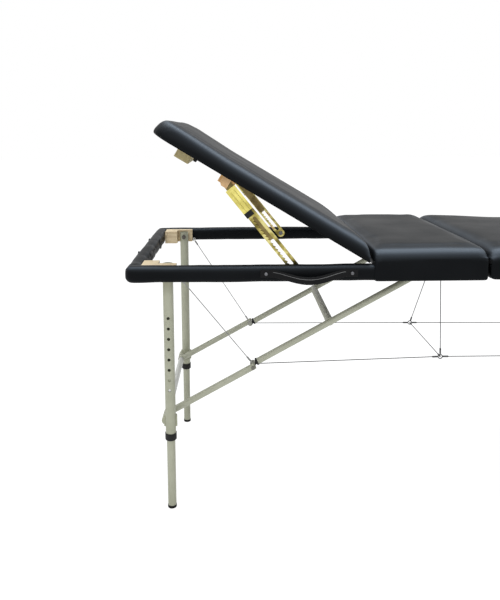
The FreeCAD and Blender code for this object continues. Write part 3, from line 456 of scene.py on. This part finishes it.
metalLooks = {
    "brightSteel": {"dark": (0.50, 0.50, 0.49), "light": (0.66, 0.66, 0.65), "smooth": 0.24, "rough": 0.38,
                    "stretch": (300.0, 300.0, 300.0)},
    "darkSteel": {"dark": (0.13, 0.125, 0.11), "light": (0.21, 0.205, 0.18), "smooth": 0.34, "rough": 0.50,
                  "stretch": (400.0, 400.0, 400.0)},
    "copperZinc": {"dark": (0.46, 0.27, 0.11), "light": (0.68, 0.44, 0.20), "smooth": 0.28, "rough": 0.42,
                   "stretch": (300.0, 300.0, 300.0)}}
woodLooks = {
    "paleWood": {"dark": (0.58, 0.43, 0.24), "light": (0.78, 0.64, 0.42), "smooth": 0.50, "rough": 0.66,
                 "stretch": (8.0, 110.0, 110.0)},
    "battenWood": {"dark": (0.42, 0.34, 0.15), "light": (0.60, 0.50, 0.25), "smooth": 0.50, "rough": 0.66,
                   "stretch": (110.0, 8.0, 110.0)},
    "copperWood": {"dark": (0.60, 0.35, 0.15), "light": (0.85, 0.55, 0.28), "smooth": 0.38, "rough": 0.54,
                   "stretch": (30.0, 160.0, 30.0)}}
plugBlack = {"dark": (0.010, 0.010, 0.010), "light": (0.020, 0.020, 0.020), "rough": 0.50, "metal": 0.0}
twoFinishLooks = {
    "ropeSteel": {"axis": "X", "splitAt": 0.6045, "bothWays": True,      # low runs dark, brighter outside the knees
                  "near": {"dark": (0.06, 0.06, 0.06), "light": (0.13, 0.13, 0.13), "rough": 0.46, "metal": 1.0},
                  "far": {"dark": (0.22, 0.22, 0.22), "light": (0.36, 0.36, 0.36), "rough": 0.42, "metal": 1.0}},
    "fittingPaint": {"axis": "Z", "splitAt": 0.2185, "bothWays": False, "gloss": 0.15,      # collars, then saddles
                     "near": plugBlack,
                     "far": {"dark": paintLooks["legPaint"]["dark"], "light": paintLooks["legPaint"]["light"],
                             "rough": 0.40, "metal": 0.0}},
    "kneePlug": {"axis": "X", "splitAt": 0.5985, "bothWays": True, "gloss": 0.15,      # plug, then its flattened eye
                 "near": plugBlack,
                 "far": {"dark": (0.26, 0.26, 0.23), "light": (0.38, 0.38, 0.33), "rough": 0.42, "metal": 0.0}},
    "armZinc": {"axis": "Y", "splitAt": 0.2805, "bothWays": True,      # inner strip dull, sleeve bright
                "near": {"dark": (0.10, 0.075, 0.03), "light": (0.26, 0.20, 0.08), "rough": 0.36, "metal": 1.0},
                "far": {"dark": (0.46, 0.39, 0.08), "light": (0.84, 0.75, 0.24), "rough": 0.34, "metal": 1.0}},
    "boltMix": {"axis": "X", "splitAt": 0.70, "bothWays": True,      # handle screws and brace bolts, then leg bolts
                "near": {"dark": (0.09, 0.09, 0.095), "light": (0.16, 0.16, 0.17), "rough": 0.28, "metal": 1.0},
                "far": {"dark": (0.06, 0.055, 0.05), "light": (0.12, 0.11, 0.10), "rough": 0.42, "metal": 1.0}}}

finishes = {"blackVinyl": makeVinyl(), "yellowZinc": makeZinc()}
for makeFinish, looks in ((makePaint, paintLooks), (makeMetal, metalLooks), (makeWood, woodLooks),
                          (makeTwoFinish, twoFinishLooks)):
    finishes.update({name: makeFinish(name, look) for name, look in looks.items()})

slotFinish = {"black_vinyl": "blackVinyl", "plywood": "lining", "light_wood": "paleWood", "leg_paint": "legPaint",
              "brace_paint": "bracePaint", "black_plastic": "blackPlastic", "black_rubber": "tipRubber",
              "yellow_zinc": "yellowZinc", "bright_steel": "brightSteel", "cable_steel": "ropeSteel",
              "strap_webbing": "webbing"}
nodeFinish = {"backrest_batten": "battenWood", "stay_blocks": "copperWood", "stay_brackets": "copperZinc",
              "stay_arms": "armZinc"}
halfFinish = {"leg_fittings": "fittingPaint", "fasteners": "boltMix", "knee_bolts": "darkSteel",
              "knee_knuckles": "kneePlug", "leg_crossbar": "barPaint"}
for half in ("head_", "foot_"):
    nodeFinish.update({half + node: finish for node, finish in halfFinish.items()})
for row in frame["record"]["subparts"]:
    finish = nodeFinish.get(row["node"], slotFinish[row["material_slot"]])
    for holder in cadNodes[row["node"]].material_slots:
        holder.material = finishes[finish]
print("materials made")


# pads: full block, voxel remesh, cloth under pressure, soft ripples, then the seat for the board is cut out

backHinge = Vector((-0.302, 0.0, 0.696))      # the backrest pad is made flat, then turned about its hinge
backAngle = math.radians(31.2)

midPadLook = {"low": (-0.2985, -0.3305, 0.6503), "high": (-0.0007, 0.3305, 0.7365), "round": 0.034, "voxel": 0.0060,
              "hingeX": -0.2985, "hingeRound": 0.014,
              "crown": 0.005, "pressure": 4.0, "cap": 0.0035, "heldBelow": 0.706, "ripple": 0.0017, "foldX": -0.0007,
              "seat": ({"low": (-0.2972, -0.3262, 0.690), "high": (-0.0014, 0.3262, 0.7042)},
                       {"low": (-0.40, -0.3262, 0.600), "high": (0.10, 0.3262, 0.6945)}),
              "limits": ((-0.2988, -0.3325, 0.650), (-0.0006, 0.3325, 0.746))}
footPadLook = {"low": (0.0007, -0.3305, 0.6503), "high": (0.9335, 0.3305, 0.7365), "round": 0.040, "voxel": 0.0082,
               "crown": 0.005, "pressure": 4.0, "cap": 0.0035, "heldBelow": 0.706, "ripple": 0.0017, "foldX": 0.0007,
               "corner": 0.024, "sag": 0.010,
               "seat": ({"low": (0.0014, -0.3262, 0.690), "high": (0.9303, 0.3262, 0.7042), "corner": 0.021},
                        {"low": (-0.10, -0.3262, 0.600), "high": (0.9303, 0.3262, 0.6945), "corner": 0.021}),
               "limits": ((0.0006, -0.3325, 0.650), (0.9350, 0.3325, 0.746))}
backPadLook = {"low": (-0.9555, -0.3305, 0.6950), "high": (-0.3030, 0.3305, 0.7400), "round": 0.031, "corner": 0.055,
               "voxel": 0.0072, "crown": 0.001, "pressure": 4.0, "cap": 0.0025, "heldBelow": 0.706, "ripple": 0.0016,
               "slopeBack": 0.028, "slopeReach": 0.10, "noseLift": 0.006, "noseReach": 0.20,
               "seat": ({"low": (-0.9482, -0.3262, 0.6958), "high": (-0.3068, 0.3262, 0.7052), "corner": 0.051},
                        {"low": (-0.9240, -0.3000, 0.6000), "high": (-0.3068, 0.3000, 0.7000), "corner": 0.040}),
               "limits": ((-0.9575, -0.3325, 0.6948), (-0.3026, 0.3325, 0.752))}
foldFall = {"reach": 0.036, "depth": 0.012}      # how the tops fall towards the fold
padShape = {"skin": 0.020, "skinFade": 0.012, "crownLong": 5, "crownWide": 3, "sagFrom": 0.04, "sagReach": 0.24,
            "puffFade": 0.012, "puffSteps": 20, "cornerSteps": 10, "roundSteps": 8, "hingeSteps": 4,
            "smoothAbove": 0.006}
offTable = 9.0      # an x that no pad reaches


def cornerBlock(name, look):      # a block with the plan corners at its outer end rounded
    block = addBlock(name, look["low"], look["high"])
    if "corner" in look:
        endX = max(look["low"][0], look["high"][0], key=abs)
        bevelEdges(block, lambda a, b: bothAt(a, b, endX) and abs(a.z - b.z) > tiny,
                   look["corner"], padShape["cornerSteps"])
    return block


def padBlock(name, look):
    pad = cornerBlock(name, look)
    top, bottom = look["high"][2], look["low"][2]
    foldX, hingeX = look.get("foldX", offTable), look.get("hingeX", offTable)
    bevelEdges(pad, lambda a, b: min(a.z, b.z) > top - tiny and not bothAt(a, b, foldX) and not bothAt(a, b, hingeX),
               look["round"], padShape["roundSteps"])
    if "hingeX" in look:      # tighter turn beside the backrest
        shoulder = top - look["round"] - tiny
        bevelEdges(pad, lambda a, b: bothAt(a, b, hingeX) and min(a.z, b.z) > shoulder,
                   look["hingeRound"], padShape["hingeSteps"])
    if "slopeBack" in look:      # hinge end leans back so the pad can swing up past the fixed one
        for vert in pad.data.vertices:
            nearEnd = max(0.0, 1.0 - (look["high"][0] - vert.co.x) / look["slopeReach"])
            height = (vert.co.z - bottom) / (top - bottom)
            vert.co.x -= look["slopeBack"] * height * nearEnd
    return pad


def crownPad(pad, look):      # domes the top, drops it at the fold, lifts the nose and lets the long pad settle
    low, high = Vector(look["low"]), Vector(look["high"])
    half = (high - low) / 2
    middle = (high + low) / 2
    skin = high.z - padShape["skin"]
    for vert in pad.data.vertices:
        if vert.co.z < skin:
            continue
        long = abs(vert.co.x - middle.x) / half.x
        wide = abs(vert.co.y - middle.y) / half.y
        share = min(1.0, (vert.co.z - skin) / padShape["skinFade"])
        dome = max(0.0, 1 - long ** padShape["crownLong"]) * max(0.0, 1 - wide ** padShape["crownWide"])
        vert.co.z += look["crown"] * share * dome
        if "foldX" in look:
            near = max(0.0, 1 - abs(vert.co.x - look["foldX"]) / foldFall["reach"])
            vert.co.z -= foldFall["depth"] * (1 - math.sqrt(1 - near * near))
        if "noseLift" in look:
            near = clamp(1 - (vert.co.x - low.x) / look["noseReach"])
            vert.co.z += look["noseLift"] * share * near
        if "sag" in look:
            gone = clamp((vert.co.x - padShape["sagFrom"]) / padShape["sagReach"])
            vert.co.z -= look["sag"] * gone * gone * (3 - 2 * gone)      # eased at both ends


def puffPad(pad, look):
    held = pad.vertex_groups.new(name="held")
    held.add([v.index for v in pad.data.vertices if v.co.z < look["heldBelow"]], 1.0, "REPLACE")
    start = [(v.co.copy(), v.normal.copy()) for v in pad.data.vertices]
    makeActive(pad)
    cloth = pad.modifiers.new("puff", "CLOTH")
    cloth.settings.quality = 4
    cloth.settings.use_pressure = True
    cloth.settings.uniform_pressure_force = look["pressure"]
    cloth.settings.effector_weights.gravity = 0
    cloth.settings.vertex_group_mass = "held"
    cloth.point_cache.frame_start = 1
    cloth.point_cache.frame_end = padShape["puffSteps"]
    for step in range(1, padShape["puffSteps"] + 1):
        scene.frame_set(step)
    bpy.ops.object.modifier_apply(modifier=cloth.name)
    scene.frame_set(1)
    for vert, (was, outward) in zip(pad.data.vertices, start):      # the firm filling stops the cover from sinking in
        fade = clamp((was.z - look["heldBelow"]) / padShape["puffFade"])
        vert.co = was + outward * fade * min(max((vert.co - was).dot(outward), 0.0), look["cap"])
    pad.vertex_groups.clear()


rippleShape = {"flat": 0.35, "edge": 0.65, "reach": 0.06, "slow": (7, 7, 9), "fast": 19, "shift": 4,
               "fastShare": 0.35}


def ripplePad(pad, look):      # slow waves in the cover, stronger near the edges
    low, high = Vector(look["low"]), Vector(look["high"])
    r = rippleShape
    outwards = [v.normal.copy() for v in pad.data.vertices]
    for vert, outward in zip(pad.data.vertices, outwards):
        if vert.co.z < look["heldBelow"]:
            continue
        place = vert.co.copy()
        edge = min(place.x - low.x, high.x - place.x, place.y - low.y, high.y - place.y)
        share = r["flat"] + r["edge"] * max(0.0, 1 - edge / r["reach"])
        slow = noise.noise(place * Vector(r["slow"]))
        fast = noise.noise(place * r["fast"] + Vector((r["shift"], 0, 0)))
        vert.co = place + outward * look["ripple"] * share * (slow + r["fastShare"] * fast)


def keepInside(pad, low, high):
    for vert in pad.data.vertices:
        for axis in range(3):
            vert.co[axis] = min(max(vert.co[axis], low[axis]), high[axis])


stretchAndHighlightShape = {"ends": 0.3, "sides": 0.7, "fromTop": 7, "fromSide": 1.4, "fade": 3, "pads": 1.0, "rails": 0.6}


def edgeShare(facing):      # 1 where the cover turns over a long edge, 0 on flat tops and sides
    s = stretchAndHighlightShape
    level = math.hypot(facing.x, facing.y)
    along = s["ends"] + s["sides"] * abs(facing.y) / level if level > tiny else 0.0
    return along * clamp((1 - facing.z) * s["fromTop"]) * clamp(facing.z * s["fromSide"]) ** s["fade"]


# the mask makes the vinyl shinier over the edges and sets where its painted highlight colour goes
def markStretchAndHighlight(obj, most):
    tight = obj.data.attributes.new("stretch", "FLOAT", "POINT")
    tight.data.foreach_set("value", [most * edgeShare(v.normal) for v in obj.data.vertices])


def cutSeat(pad, look):      # room for the board and the rails below it
    for space in look["seat"]:
        cutAway(pad, cornerBlock("seatTool", space))


def makePad(name, look):
    pad = padBlock(name, look)
    useModifier(pad, "REMESH", mode="VOXEL", voxel_size=look["voxel"], use_smooth_shade=True)
    useModifier(pad, "SMOOTH", factor=0.5, iterations=4)
    crownPad(pad, look)
    puffPad(pad, look)
    ripplePad(pad, look)
    upper = pad.vertex_groups.new(name="upper")
    above = look["heldBelow"] + padShape["smoothAbove"]
    upper.add([v.index for v in pad.data.vertices if v.co.z > above], 1.0, "REPLACE")
    useModifier(pad, "SMOOTH", factor=0.5, iterations=8, vertex_group="upper")
    pad.vertex_groups.clear()
    keepInside(pad, *look["limits"])
    useModifier(pad, "SUBSURF", levels=1, render_levels=1)
    cutSeat(pad, look)
    markStretchAndHighlight(pad, stretchAndHighlightShape["pads"])
    smoothShade(pad)
    print(name, "has", len(pad.data.polygons), "faces")
    return pad


midPad = makePad("midPad", midPadLook)
dress(midPad, "blackVinyl", "head_frame")
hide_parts("mid_pad", "mid_side_covers")

footPad = makePad("footPad", footPadLook)
dress(footPad, "blackVinyl", "foot_frame")
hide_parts("foot_pad", "foot_side_covers")

backPad = makePad("backPad", backPadLook)
backTurn = Matrix.Translation(backHinge) @ Matrix.Rotation(backAngle, 4, "Y") @ Matrix.Translation(-backHinge)
backPad.data.transform(backTurn)
dress(backPad, "blackVinyl", "backrest")
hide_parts("backrest_pad", "backrest_edge_band")
print("pads done")


# rails wrapped in the same vinyl, pulled round thin padding so they bulge a little

railLook = {"voxel": 0.0045, "edge": 0.0155, "corner": 0.022, "pull": 0.0013, "pullScale": 11, "fine": 0.0005,
            "fineScale": 27, "top": 0.6947, "lap": 0.012, "stayEnds": 0.02}
headRailLook = {"outer": 0.3274, "inner": 0.2905, "end": 0.9335, "endInner": 0.8946, "centre": 0.0015,
                "centreInner": 0.0363, "bottom": 0.6512, "centreBottom": 0.6552, "pleat": 0.0017}
footRailLook = {"outer": 0.3258, "inner": 0.2905, "end": 0.9296, "endInner": 0.8946, "centre": 0.0015,
                "centreInner": 0.0363, "bottom": 0.6516, "centreBottom": 0.6552, "pleat": 0.0}
bushLook = {"y": 0.105, "z": 0.675, "radius": 0.0124, "flange": 0.019, "through": 0.02, "sides": 32}
pleatLook = {"step": 0.080, "lean": 8, "middle": 0.6, "fade": 0.02, "plain": 0.7, "facing": 0.3,
             "endMargin": 0.008, "sideMargin": 0.006}


def railBar(name, low, high, corner=None):
    bar = addBlock(name, low, high)
    if corner:
        bevelEdges(bar, lambda a, b: bothAt(a, b, corner[0]) and abs(a.y - corner[1]) < tiny
                   and abs(b.y - corner[1]) < tiny, railLook["corner"], 8)
    roundOff(bar, railLook["edge"], 4)
    return bar


def pleatAt(place, facing):      # gathers on the end rail, fading out round the bushes
    p = pleatLook
    clear = math.hypot(abs(place.y) - bushLook["y"], place.z - bushLook["z"]) - bushLook["flange"]
    gather = abs(math.sin(math.pi * (place.y / p["step"] + p["lean"] * (place.z - bushLook["z"]))))
    return (gather - p["middle"]) * clamp(clear / p["fade"]) * (p["plain"] + p["facing"] * facing.x)


def railSkin(rails, look):
    pleatEnd, pleatSide = look["endInner"] - pleatLook["endMargin"], look["inner"] - pleatLook["sideMargin"]
    stayFrom, stayTo = look["centreInner"] + railLook["stayEnds"], look["endInner"] - railLook["stayEnds"]
    outwards = [v.normal.copy() for v in rails.data.vertices]
    for vert, facing in zip(rails.data.vertices, outwards):
        place = vert.co.copy()
        push = railLook["pull"] * noise.noise(place * railLook["pullScale"])
        push += railLook["fine"] * noise.noise(place * railLook["fineScale"])
        if abs(place.x) > pleatEnd and abs(place.y) < pleatSide:
            push += look["pleat"] * pleatAt(place, facing)
        vert.co = place + facing * push
        vert.co.z = min(vert.co.z, railLook["top"])
        if stayFrom < abs(place.x) < stayTo:      # room for the stays
            vert.co.y = math.copysign(max(abs(vert.co.y), look["inner"]), place.y)


def makeRails(name, side, look, body, node):
    def span(a, b):
        return sorted((side * a, side * b))
    bars = []
    x0, x1 = span(look["end"], look["centre"])
    for hand in (-1, 1):
        y0, y1 = sorted((hand * look["inner"], hand * look["outer"]))
        bars.append(railBar(name, (x0, y0, look["bottom"]), (x1, y1, railLook["top"]),
                            (side * look["end"], hand * look["outer"])))
    reach = look["inner"] + railLook["lap"]
    e0, e1 = span(look["end"], look["endInner"])
    bars.append(railBar(name, (e0, -reach, look["bottom"]), (e1, reach, railLook["top"])))
    c0, c1 = span(look["centre"], look["centreInner"])
    bars.append(railBar(name, (c0, -reach, look["centreBottom"]), (c1, reach, railLook["top"])))
    rails = joinAll(name, bars)
    useModifier(rails, "REMESH", mode="VOXEL", voxel_size=railLook["voxel"], use_smooth_shade=True)
    useModifier(rails, "SMOOTH", factor=0.5, iterations=3)
    railSkin(rails, look)
    useModifier(rails, "SMOOTH", factor=0.5, iterations=2)
    if look["pleat"]:      # room for the headrest bushes
        b = bushLook
        for y in (-b["y"], b["y"]):
            cutAway(rails, addRod("bushTool", (e0 - b["through"], y, b["z"]), (e1 + b["through"], y, b["z"]),
                                  b["radius"], b["sides"]))
    markStretchAndHighlight(rails, stretchAndHighlightShape["rails"])
    smoothShade(rails)
    dress(rails, "blackVinyl", body)
    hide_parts(node)
    print(name, "has", len(rails.data.polygons), "faces")


makeRails("headRails", -1, headRailLook, "head_frame", "head_rails")
makeRails("footRails", 1, footRailLook, "foot_frame", "foot_rails")
print("rails done")


# small rubber bumpers beside the batten

bumperLook = {"place": (-0.754, -0.232, 0.962), "radius": 0.005, "height": 0.007, "sunk": 0.004, "round": 0.003,
              "sides": 24}


def makeBumpers():
    b = bumperLook
    down = Matrix.Rotation(backAngle, 3, "Y") @ Vector((0, 0, -1))
    pair = []
    for hand in (1, -1):
        foot = Vector(b["place"])
        foot.y *= hand
        bumper = addRod("bumper", foot - down * b["sunk"], foot + down * b["height"], b["radius"], b["sides"])
        roundOff(bumper, b["round"], 4)
        pair.append(bumper)
    bumpers = joinAll("bumpers", pair)
    smoothShade(bumpers)
    dress(bumpers, "tipRubber", "backrest")


makeBumpers()
print("bumpers done")


# strap handles

handleLook = {"headSeat": 0.326, "footSeat": 0.330,      # the foot strap lies on the pad's side cover
              "middle": 0.463, "span": 0.220, "tab": 0.030, "height": 0.675, "sag": 0.016, "bulge": 0.019,
              "width": 0.020, "thick": 0.005, "swell": 0.0022, "swellReach": 0.72, "cuts": 72, "crossCuts": 4,
              "railFace": 0.326, "ease": 0.75, "round": 0.0012, "seamAt": 0.0042, "seamWide": 0.0011,
              "seamShare": 0.84, "seamOut": 0.0004, "seamIn": 0.0006}


def strapShape(t, seat):      # t runs -1 to 1 between the screws; returns outward and downward offsets
    h = handleLook
    free = 1 - (h["tab"] / 2) / (h["span"] / 2)
    flat = seat + h["thick"] / 2
    if abs(t) >= free:
        return flat, 0.0
    lift = (0.5 + 0.5 * math.cos(math.pi * t / free)) ** h["ease"]
    return flat + (h["railFace"] + h["bulge"] - flat) * lift, h["sag"] * lift


def bendStrap(strap, middleX, seat):
    h = handleLook
    for vert in strap.data.vertices:
        t = (vert.co.x - middleX) / (h["span"] / 2)
        out, down = strapShape(t, seat)
        swell = h["swell"] * max(0.0, 1 - (t / h["swellReach"]) ** 4) * (1 - (vert.co.z / (h["width"] / 2)) ** 2)
        y = vert.co.y + math.copysign(swell, vert.co.y)
        vert.co = Vector((vert.co.x, -out + y, h["height"] - down + vert.co.z))


def longEdge(a, b):
    return abs(a.x - b.x) > handleLook["span"] / 2


def makeHandle(name, side, seat, body, node):
    h = handleLook
    middleX = side * h["middle"]
    reach = h["span"] / 2 + h["tab"] / 2
    half = h["thick"] / 2
    strap = addBlock(name, (middleX - reach, -half, -h["width"] / 2), (middleX + reach, half, h["width"] / 2))
    cutEdges(strap, longEdge, h["cuts"])
    cutEdges(strap, lambda a, b: abs(a.z - b.z) > h["width"] / 2, h["crossCuts"])
    roundOff(strap, h["round"], 2, 60)
    bendStrap(strap, middleX, seat)
    useModifier(strap, "SUBSURF", levels=1, render_levels=1)
    smoothShade(strap, 60)
    dress(strap, "webbing", body)
    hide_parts(node)
    run = h["span"] / 2 * h["seamShare"]
    seam = addBlock(name + "Seam", (middleX - run, -half - h["seamOut"], h["seamAt"] - h["seamWide"] / 2),
                    (middleX + run, -half + h["seamIn"], h["seamAt"] + h["seamWide"] / 2))
    cutEdges(seam, longEdge, h["cuts"])
    bendStrap(seam, middleX, seat)
    smoothShade(seam, 60)
    dress(seam, "thread", body)


makeHandle("headHandle", -1, handleLook["headSeat"], "head_frame", "head_handle")
makeHandle("footHandle", 1, handleLook["footSeat"], "foot_frame", "foot_handle")
print("handles done")


# wire cables, drawn tight as when the table stands open

cableLook = {"radius": 0.00125, "sides": 10, "sleeve": 0.0026, "sleeveLength": 0.016, "sleeveRound": 0.0008,
             "sleeveSides": 14, "ring": 0.006, "ringWire": 0.0015, "flatAt": 0.6503, "flatKeep": 0.006}
cableGap = {"eye": 0.0068, "knee": 0.013, "lowKnee": 0.010, "rail": 0.0026, "cross": 0.002,
            "ring": cableLook["ring"] + cableLook["ringWire"]}
knee = Vector((-0.6042, 0.0, 0.38184))
eye = Vector((-0.7987, 0.277, 0.657))
ring = Vector((-0.062, 0.157, 0.386))
riserTop = Vector((-0.025, 0.027, 0.654))
headBraceY, footBraceY = 0.184, 0.150


def wire(name, start, end, startGap, endGap, sleeveStart=True, sleeveEnd=True):
    c = cableLook
    start, end = Vector(start), Vector(end)
    along = (end - start).normalized()
    a, b = start + along * startGap, end - along * endGap
    pieces = [addRod(name, a, b, c["radius"], c["sides"])]
    for wanted, root, way in ((sleeveStart, a, along), (sleeveEnd, b, -along)):
        if wanted:
            sleeve = addRod(name, root, root + way * c["sleeveLength"], c["sleeve"], c["sleeveSides"])
            roundOff(sleeve, c["sleeveRound"], 2)
            pieces.append(sleeve)
    return joinAll(name, pieces)


def mirrored(point):
    return Vector((point[0], -point[1], point[2]))


def bothSides(name, start, end, *gaps):
    return [wire(name, start, end, *gaps), wire(name, mirrored(start), mirrored(end), *gaps)]


def at(point, y, side=1):
    return Vector((side * point.x, y, point.z))


def finishCables(name, pieces, body, node):
    whole = joinAll(name, pieces)
    smoothShade(whole)
    dress(whole, "ropeSteel", body)
    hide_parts(node)
    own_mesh(whole)


def cableRings():
    rings = []
    for y in (ring.y, -ring.y):
        deselectAll()
        bpy.ops.mesh.primitive_torus_add(major_radius=cableLook["ring"], minor_radius=cableLook["ringWire"],
                                         major_segments=28, minor_segments=10, location=(ring.x, y, ring.z),
                                         rotation=(math.pi / 2, 0, 0))
        bpy.ops.object.transform_apply(location=True, rotation=True, scale=True)
        rings.append(bpy.context.object)
    return rings


headKnee, footKnee = at(knee, headBraceY), at(knee, footBraceY, -1)
footEye = at(eye, eye.y, -1)
fold = ring + (footKnee - ring) * (-ring.x / (footKnee.x - ring.x))      # where a cable crosses the fold
gap = cableGap
headCables = bothSides("headCables", eye, headKnee, gap["eye"], gap["knee"])
headCables += bothSides("headCables", headKnee, ring, gap["lowKnee"], gap["ring"], False, True)
headCables += bothSides("headCables", ring, riserTop, gap["ring"], gap["rail"])
headCables += [wire("headCables", mirrored(ring), ring, gap["cross"], gap["cross"])]
headCables += bothSides("headCables", ring, fold, gap["ring"], 0.0, True, False)
headCables += cableRings()
finishCables("headCableSet", headCables, "head_frame", "head_cables")
footCables = bothSides("footCables", footEye, footKnee, gap["eye"], gap["knee"])
footCables += bothSides("footCables", fold, footKnee, 0.0, gap["lowKnee"], False, False)
finishCables("footCableSet", footCables, "foot_frame", "foot_cables")
print("cables done")


# floor, light and camera

def seenRays(tree):      # rays that see the white surroundings: camera, glossy and transmission
    rays = addNode(tree, "ShaderNodeLightPath")
    some = addNode(tree, "ShaderNodeMath", operation="MAXIMUM")
    total = addNode(tree, "ShaderNodeMath", operation="MAXIMUM")
    link(tree, rays.outputs["Is Camera Ray"], some.inputs[0])
    link(tree, rays.outputs["Is Glossy Ray"], some.inputs[1])
    link(tree, some.outputs[0], total.inputs[0])
    link(tree, rays.outputs["Is Transmission Ray"], total.inputs[1])
    return total.outputs[0]


floorLook = {"size": 30, "place": (0, 6, -0.0005), "colour": (0.9, 0.9, 0.9), "rough": 0.9, "gloss": 0.1,
             "glow": 1.18, "glowShare": 0.8}


def makeFloor():
    deselectAll()
    bpy.ops.mesh.primitive_plane_add(size=floorLook["size"], location=floorLook["place"])
    floor = bpy.context.object
    floor.name = "floor"
    bpy.ops.object.transform_apply(location=True, rotation=True, scale=True)
    material = bpy.data.materials.new("paleFloor")
    material.use_nodes = True
    tree = material.node_tree
    shader = tree.nodes["Principled BSDF"]
    shader.inputs["Base Color"].default_value = (*floorLook["colour"], 1)
    shader.inputs["Roughness"].default_value = floorLook["rough"]
    shader.inputs["Specular IOR Level"].default_value = floorLook["gloss"]
    glow = addNode(tree, "ShaderNodeEmission", Color=(1, 1, 1, 1), Strength=floorLook["glow"])
    share = addNode(tree, "ShaderNodeMath", operation="MULTIPLY")
    share.inputs[1].default_value = floorLook["glowShare"]
    mix = addNode(tree, "ShaderNodeMixShader")
    link(tree, seenRays(tree), share.inputs[0])
    link(tree, share.outputs[0], mix.inputs["Fac"])
    link(tree, shader.outputs["BSDF"], mix.inputs[1])
    link(tree, glow.outputs["Emission"], mix.inputs[2])
    link(tree, mix.outputs["Shader"], tree.nodes["Material Output"].inputs["Surface"])
    floor.data.materials.append(material)


worldLook = {"colour": (1, 1, 1), "light": 0.55}


def makeWorld():      # white where it is seen, softer as light
    world = bpy.data.worlds.new("studio")
    world.use_nodes = True
    tree = world.node_tree
    soft = tree.nodes["Background"]
    soft.inputs["Color"].default_value = (*worldLook["colour"], 1)
    soft.inputs["Strength"].default_value = worldLook["light"]
    plain = addNode(tree, "ShaderNodeBackground", Color=(*worldLook["colour"], 1))
    mix = addNode(tree, "ShaderNodeMixShader")
    link(tree, seenRays(tree), mix.inputs["Fac"])
    link(tree, soft.outputs["Background"], mix.inputs[1])
    link(tree, plain.outputs["Background"], mix.inputs[2])
    link(tree, mix.outputs["Shader"], tree.nodes["World Output"].inputs["Surface"])
    scene.world = world


lampLooks = {"overhead": {"place": (-0.3, 0.1, 3.0), "aim": (-0.3, 0.0, 0.7), "size": (3.4, 1.7), "power": 92,
                          "tint": (0.90, 0.95, 1.0)},
             "frontFill": {"place": (-0.7, -2.6, 2.0), "aim": (-0.4, 0.0, 0.5), "size": (3.2, 1.2), "power": 22,
                           "tint": (0.96, 0.98, 1.0)}}


def makeLamp(name, look):
    deselectAll()
    bpy.ops.object.light_add(type="AREA", location=look["place"])
    lamp = bpy.context.object
    lamp.name = name
    lamp.data.shape = "RECTANGLE"
    lamp.data.size, lamp.data.size_y = look["size"]
    lamp.data.energy = look["power"]
    lamp.data.color = look["tint"]
    lamp.rotation_euler = (Vector(look["aim"]) - Vector(look["place"])).to_track_quat("-Z", "Y").to_euler()


# angles in radians; focal length, frame height and drop in pixels of a frame 600 high
cameraLook = {"place": (-0.64226, -1.84175, 1.03501), "turn": 0.0194, "tip": 0.1125, "roll": -0.0047,
              "focal": 608.37, "frameHeight": 600.0, "drop": 100.0, "sensor": 24.0, "clip": 0.05}


def makeCamera():
    look = cameraLook
    deselectAll()
    bpy.ops.object.camera_add(location=look["place"])
    camera = bpy.context.object
    camera.data.sensor_fit = "VERTICAL"
    camera.data.sensor_height = look["sensor"]
    camera.data.lens = look["focal"] / look["frameHeight"] * look["sensor"]
    camera.data.shift_y = -look["drop"] / look["frameHeight"]
    camera.data.clip_start = look["clip"]
    turn = (Matrix.Rotation(-look["turn"], 3, "Z") @ Matrix.Rotation(math.pi / 2 - look["tip"], 3, "X")
            @ Matrix.Rotation(look["roll"], 3, "Z"))
    camera.rotation_euler = turn.to_euler()
    scene.camera = camera


makeFloor()
makeWorld()
for lampName, lampLook in lampLooks.items():
    makeLamp(lampName, lampLook)
makeCamera()
scene.view_settings.view_transform = "Standard"
print("stage done")
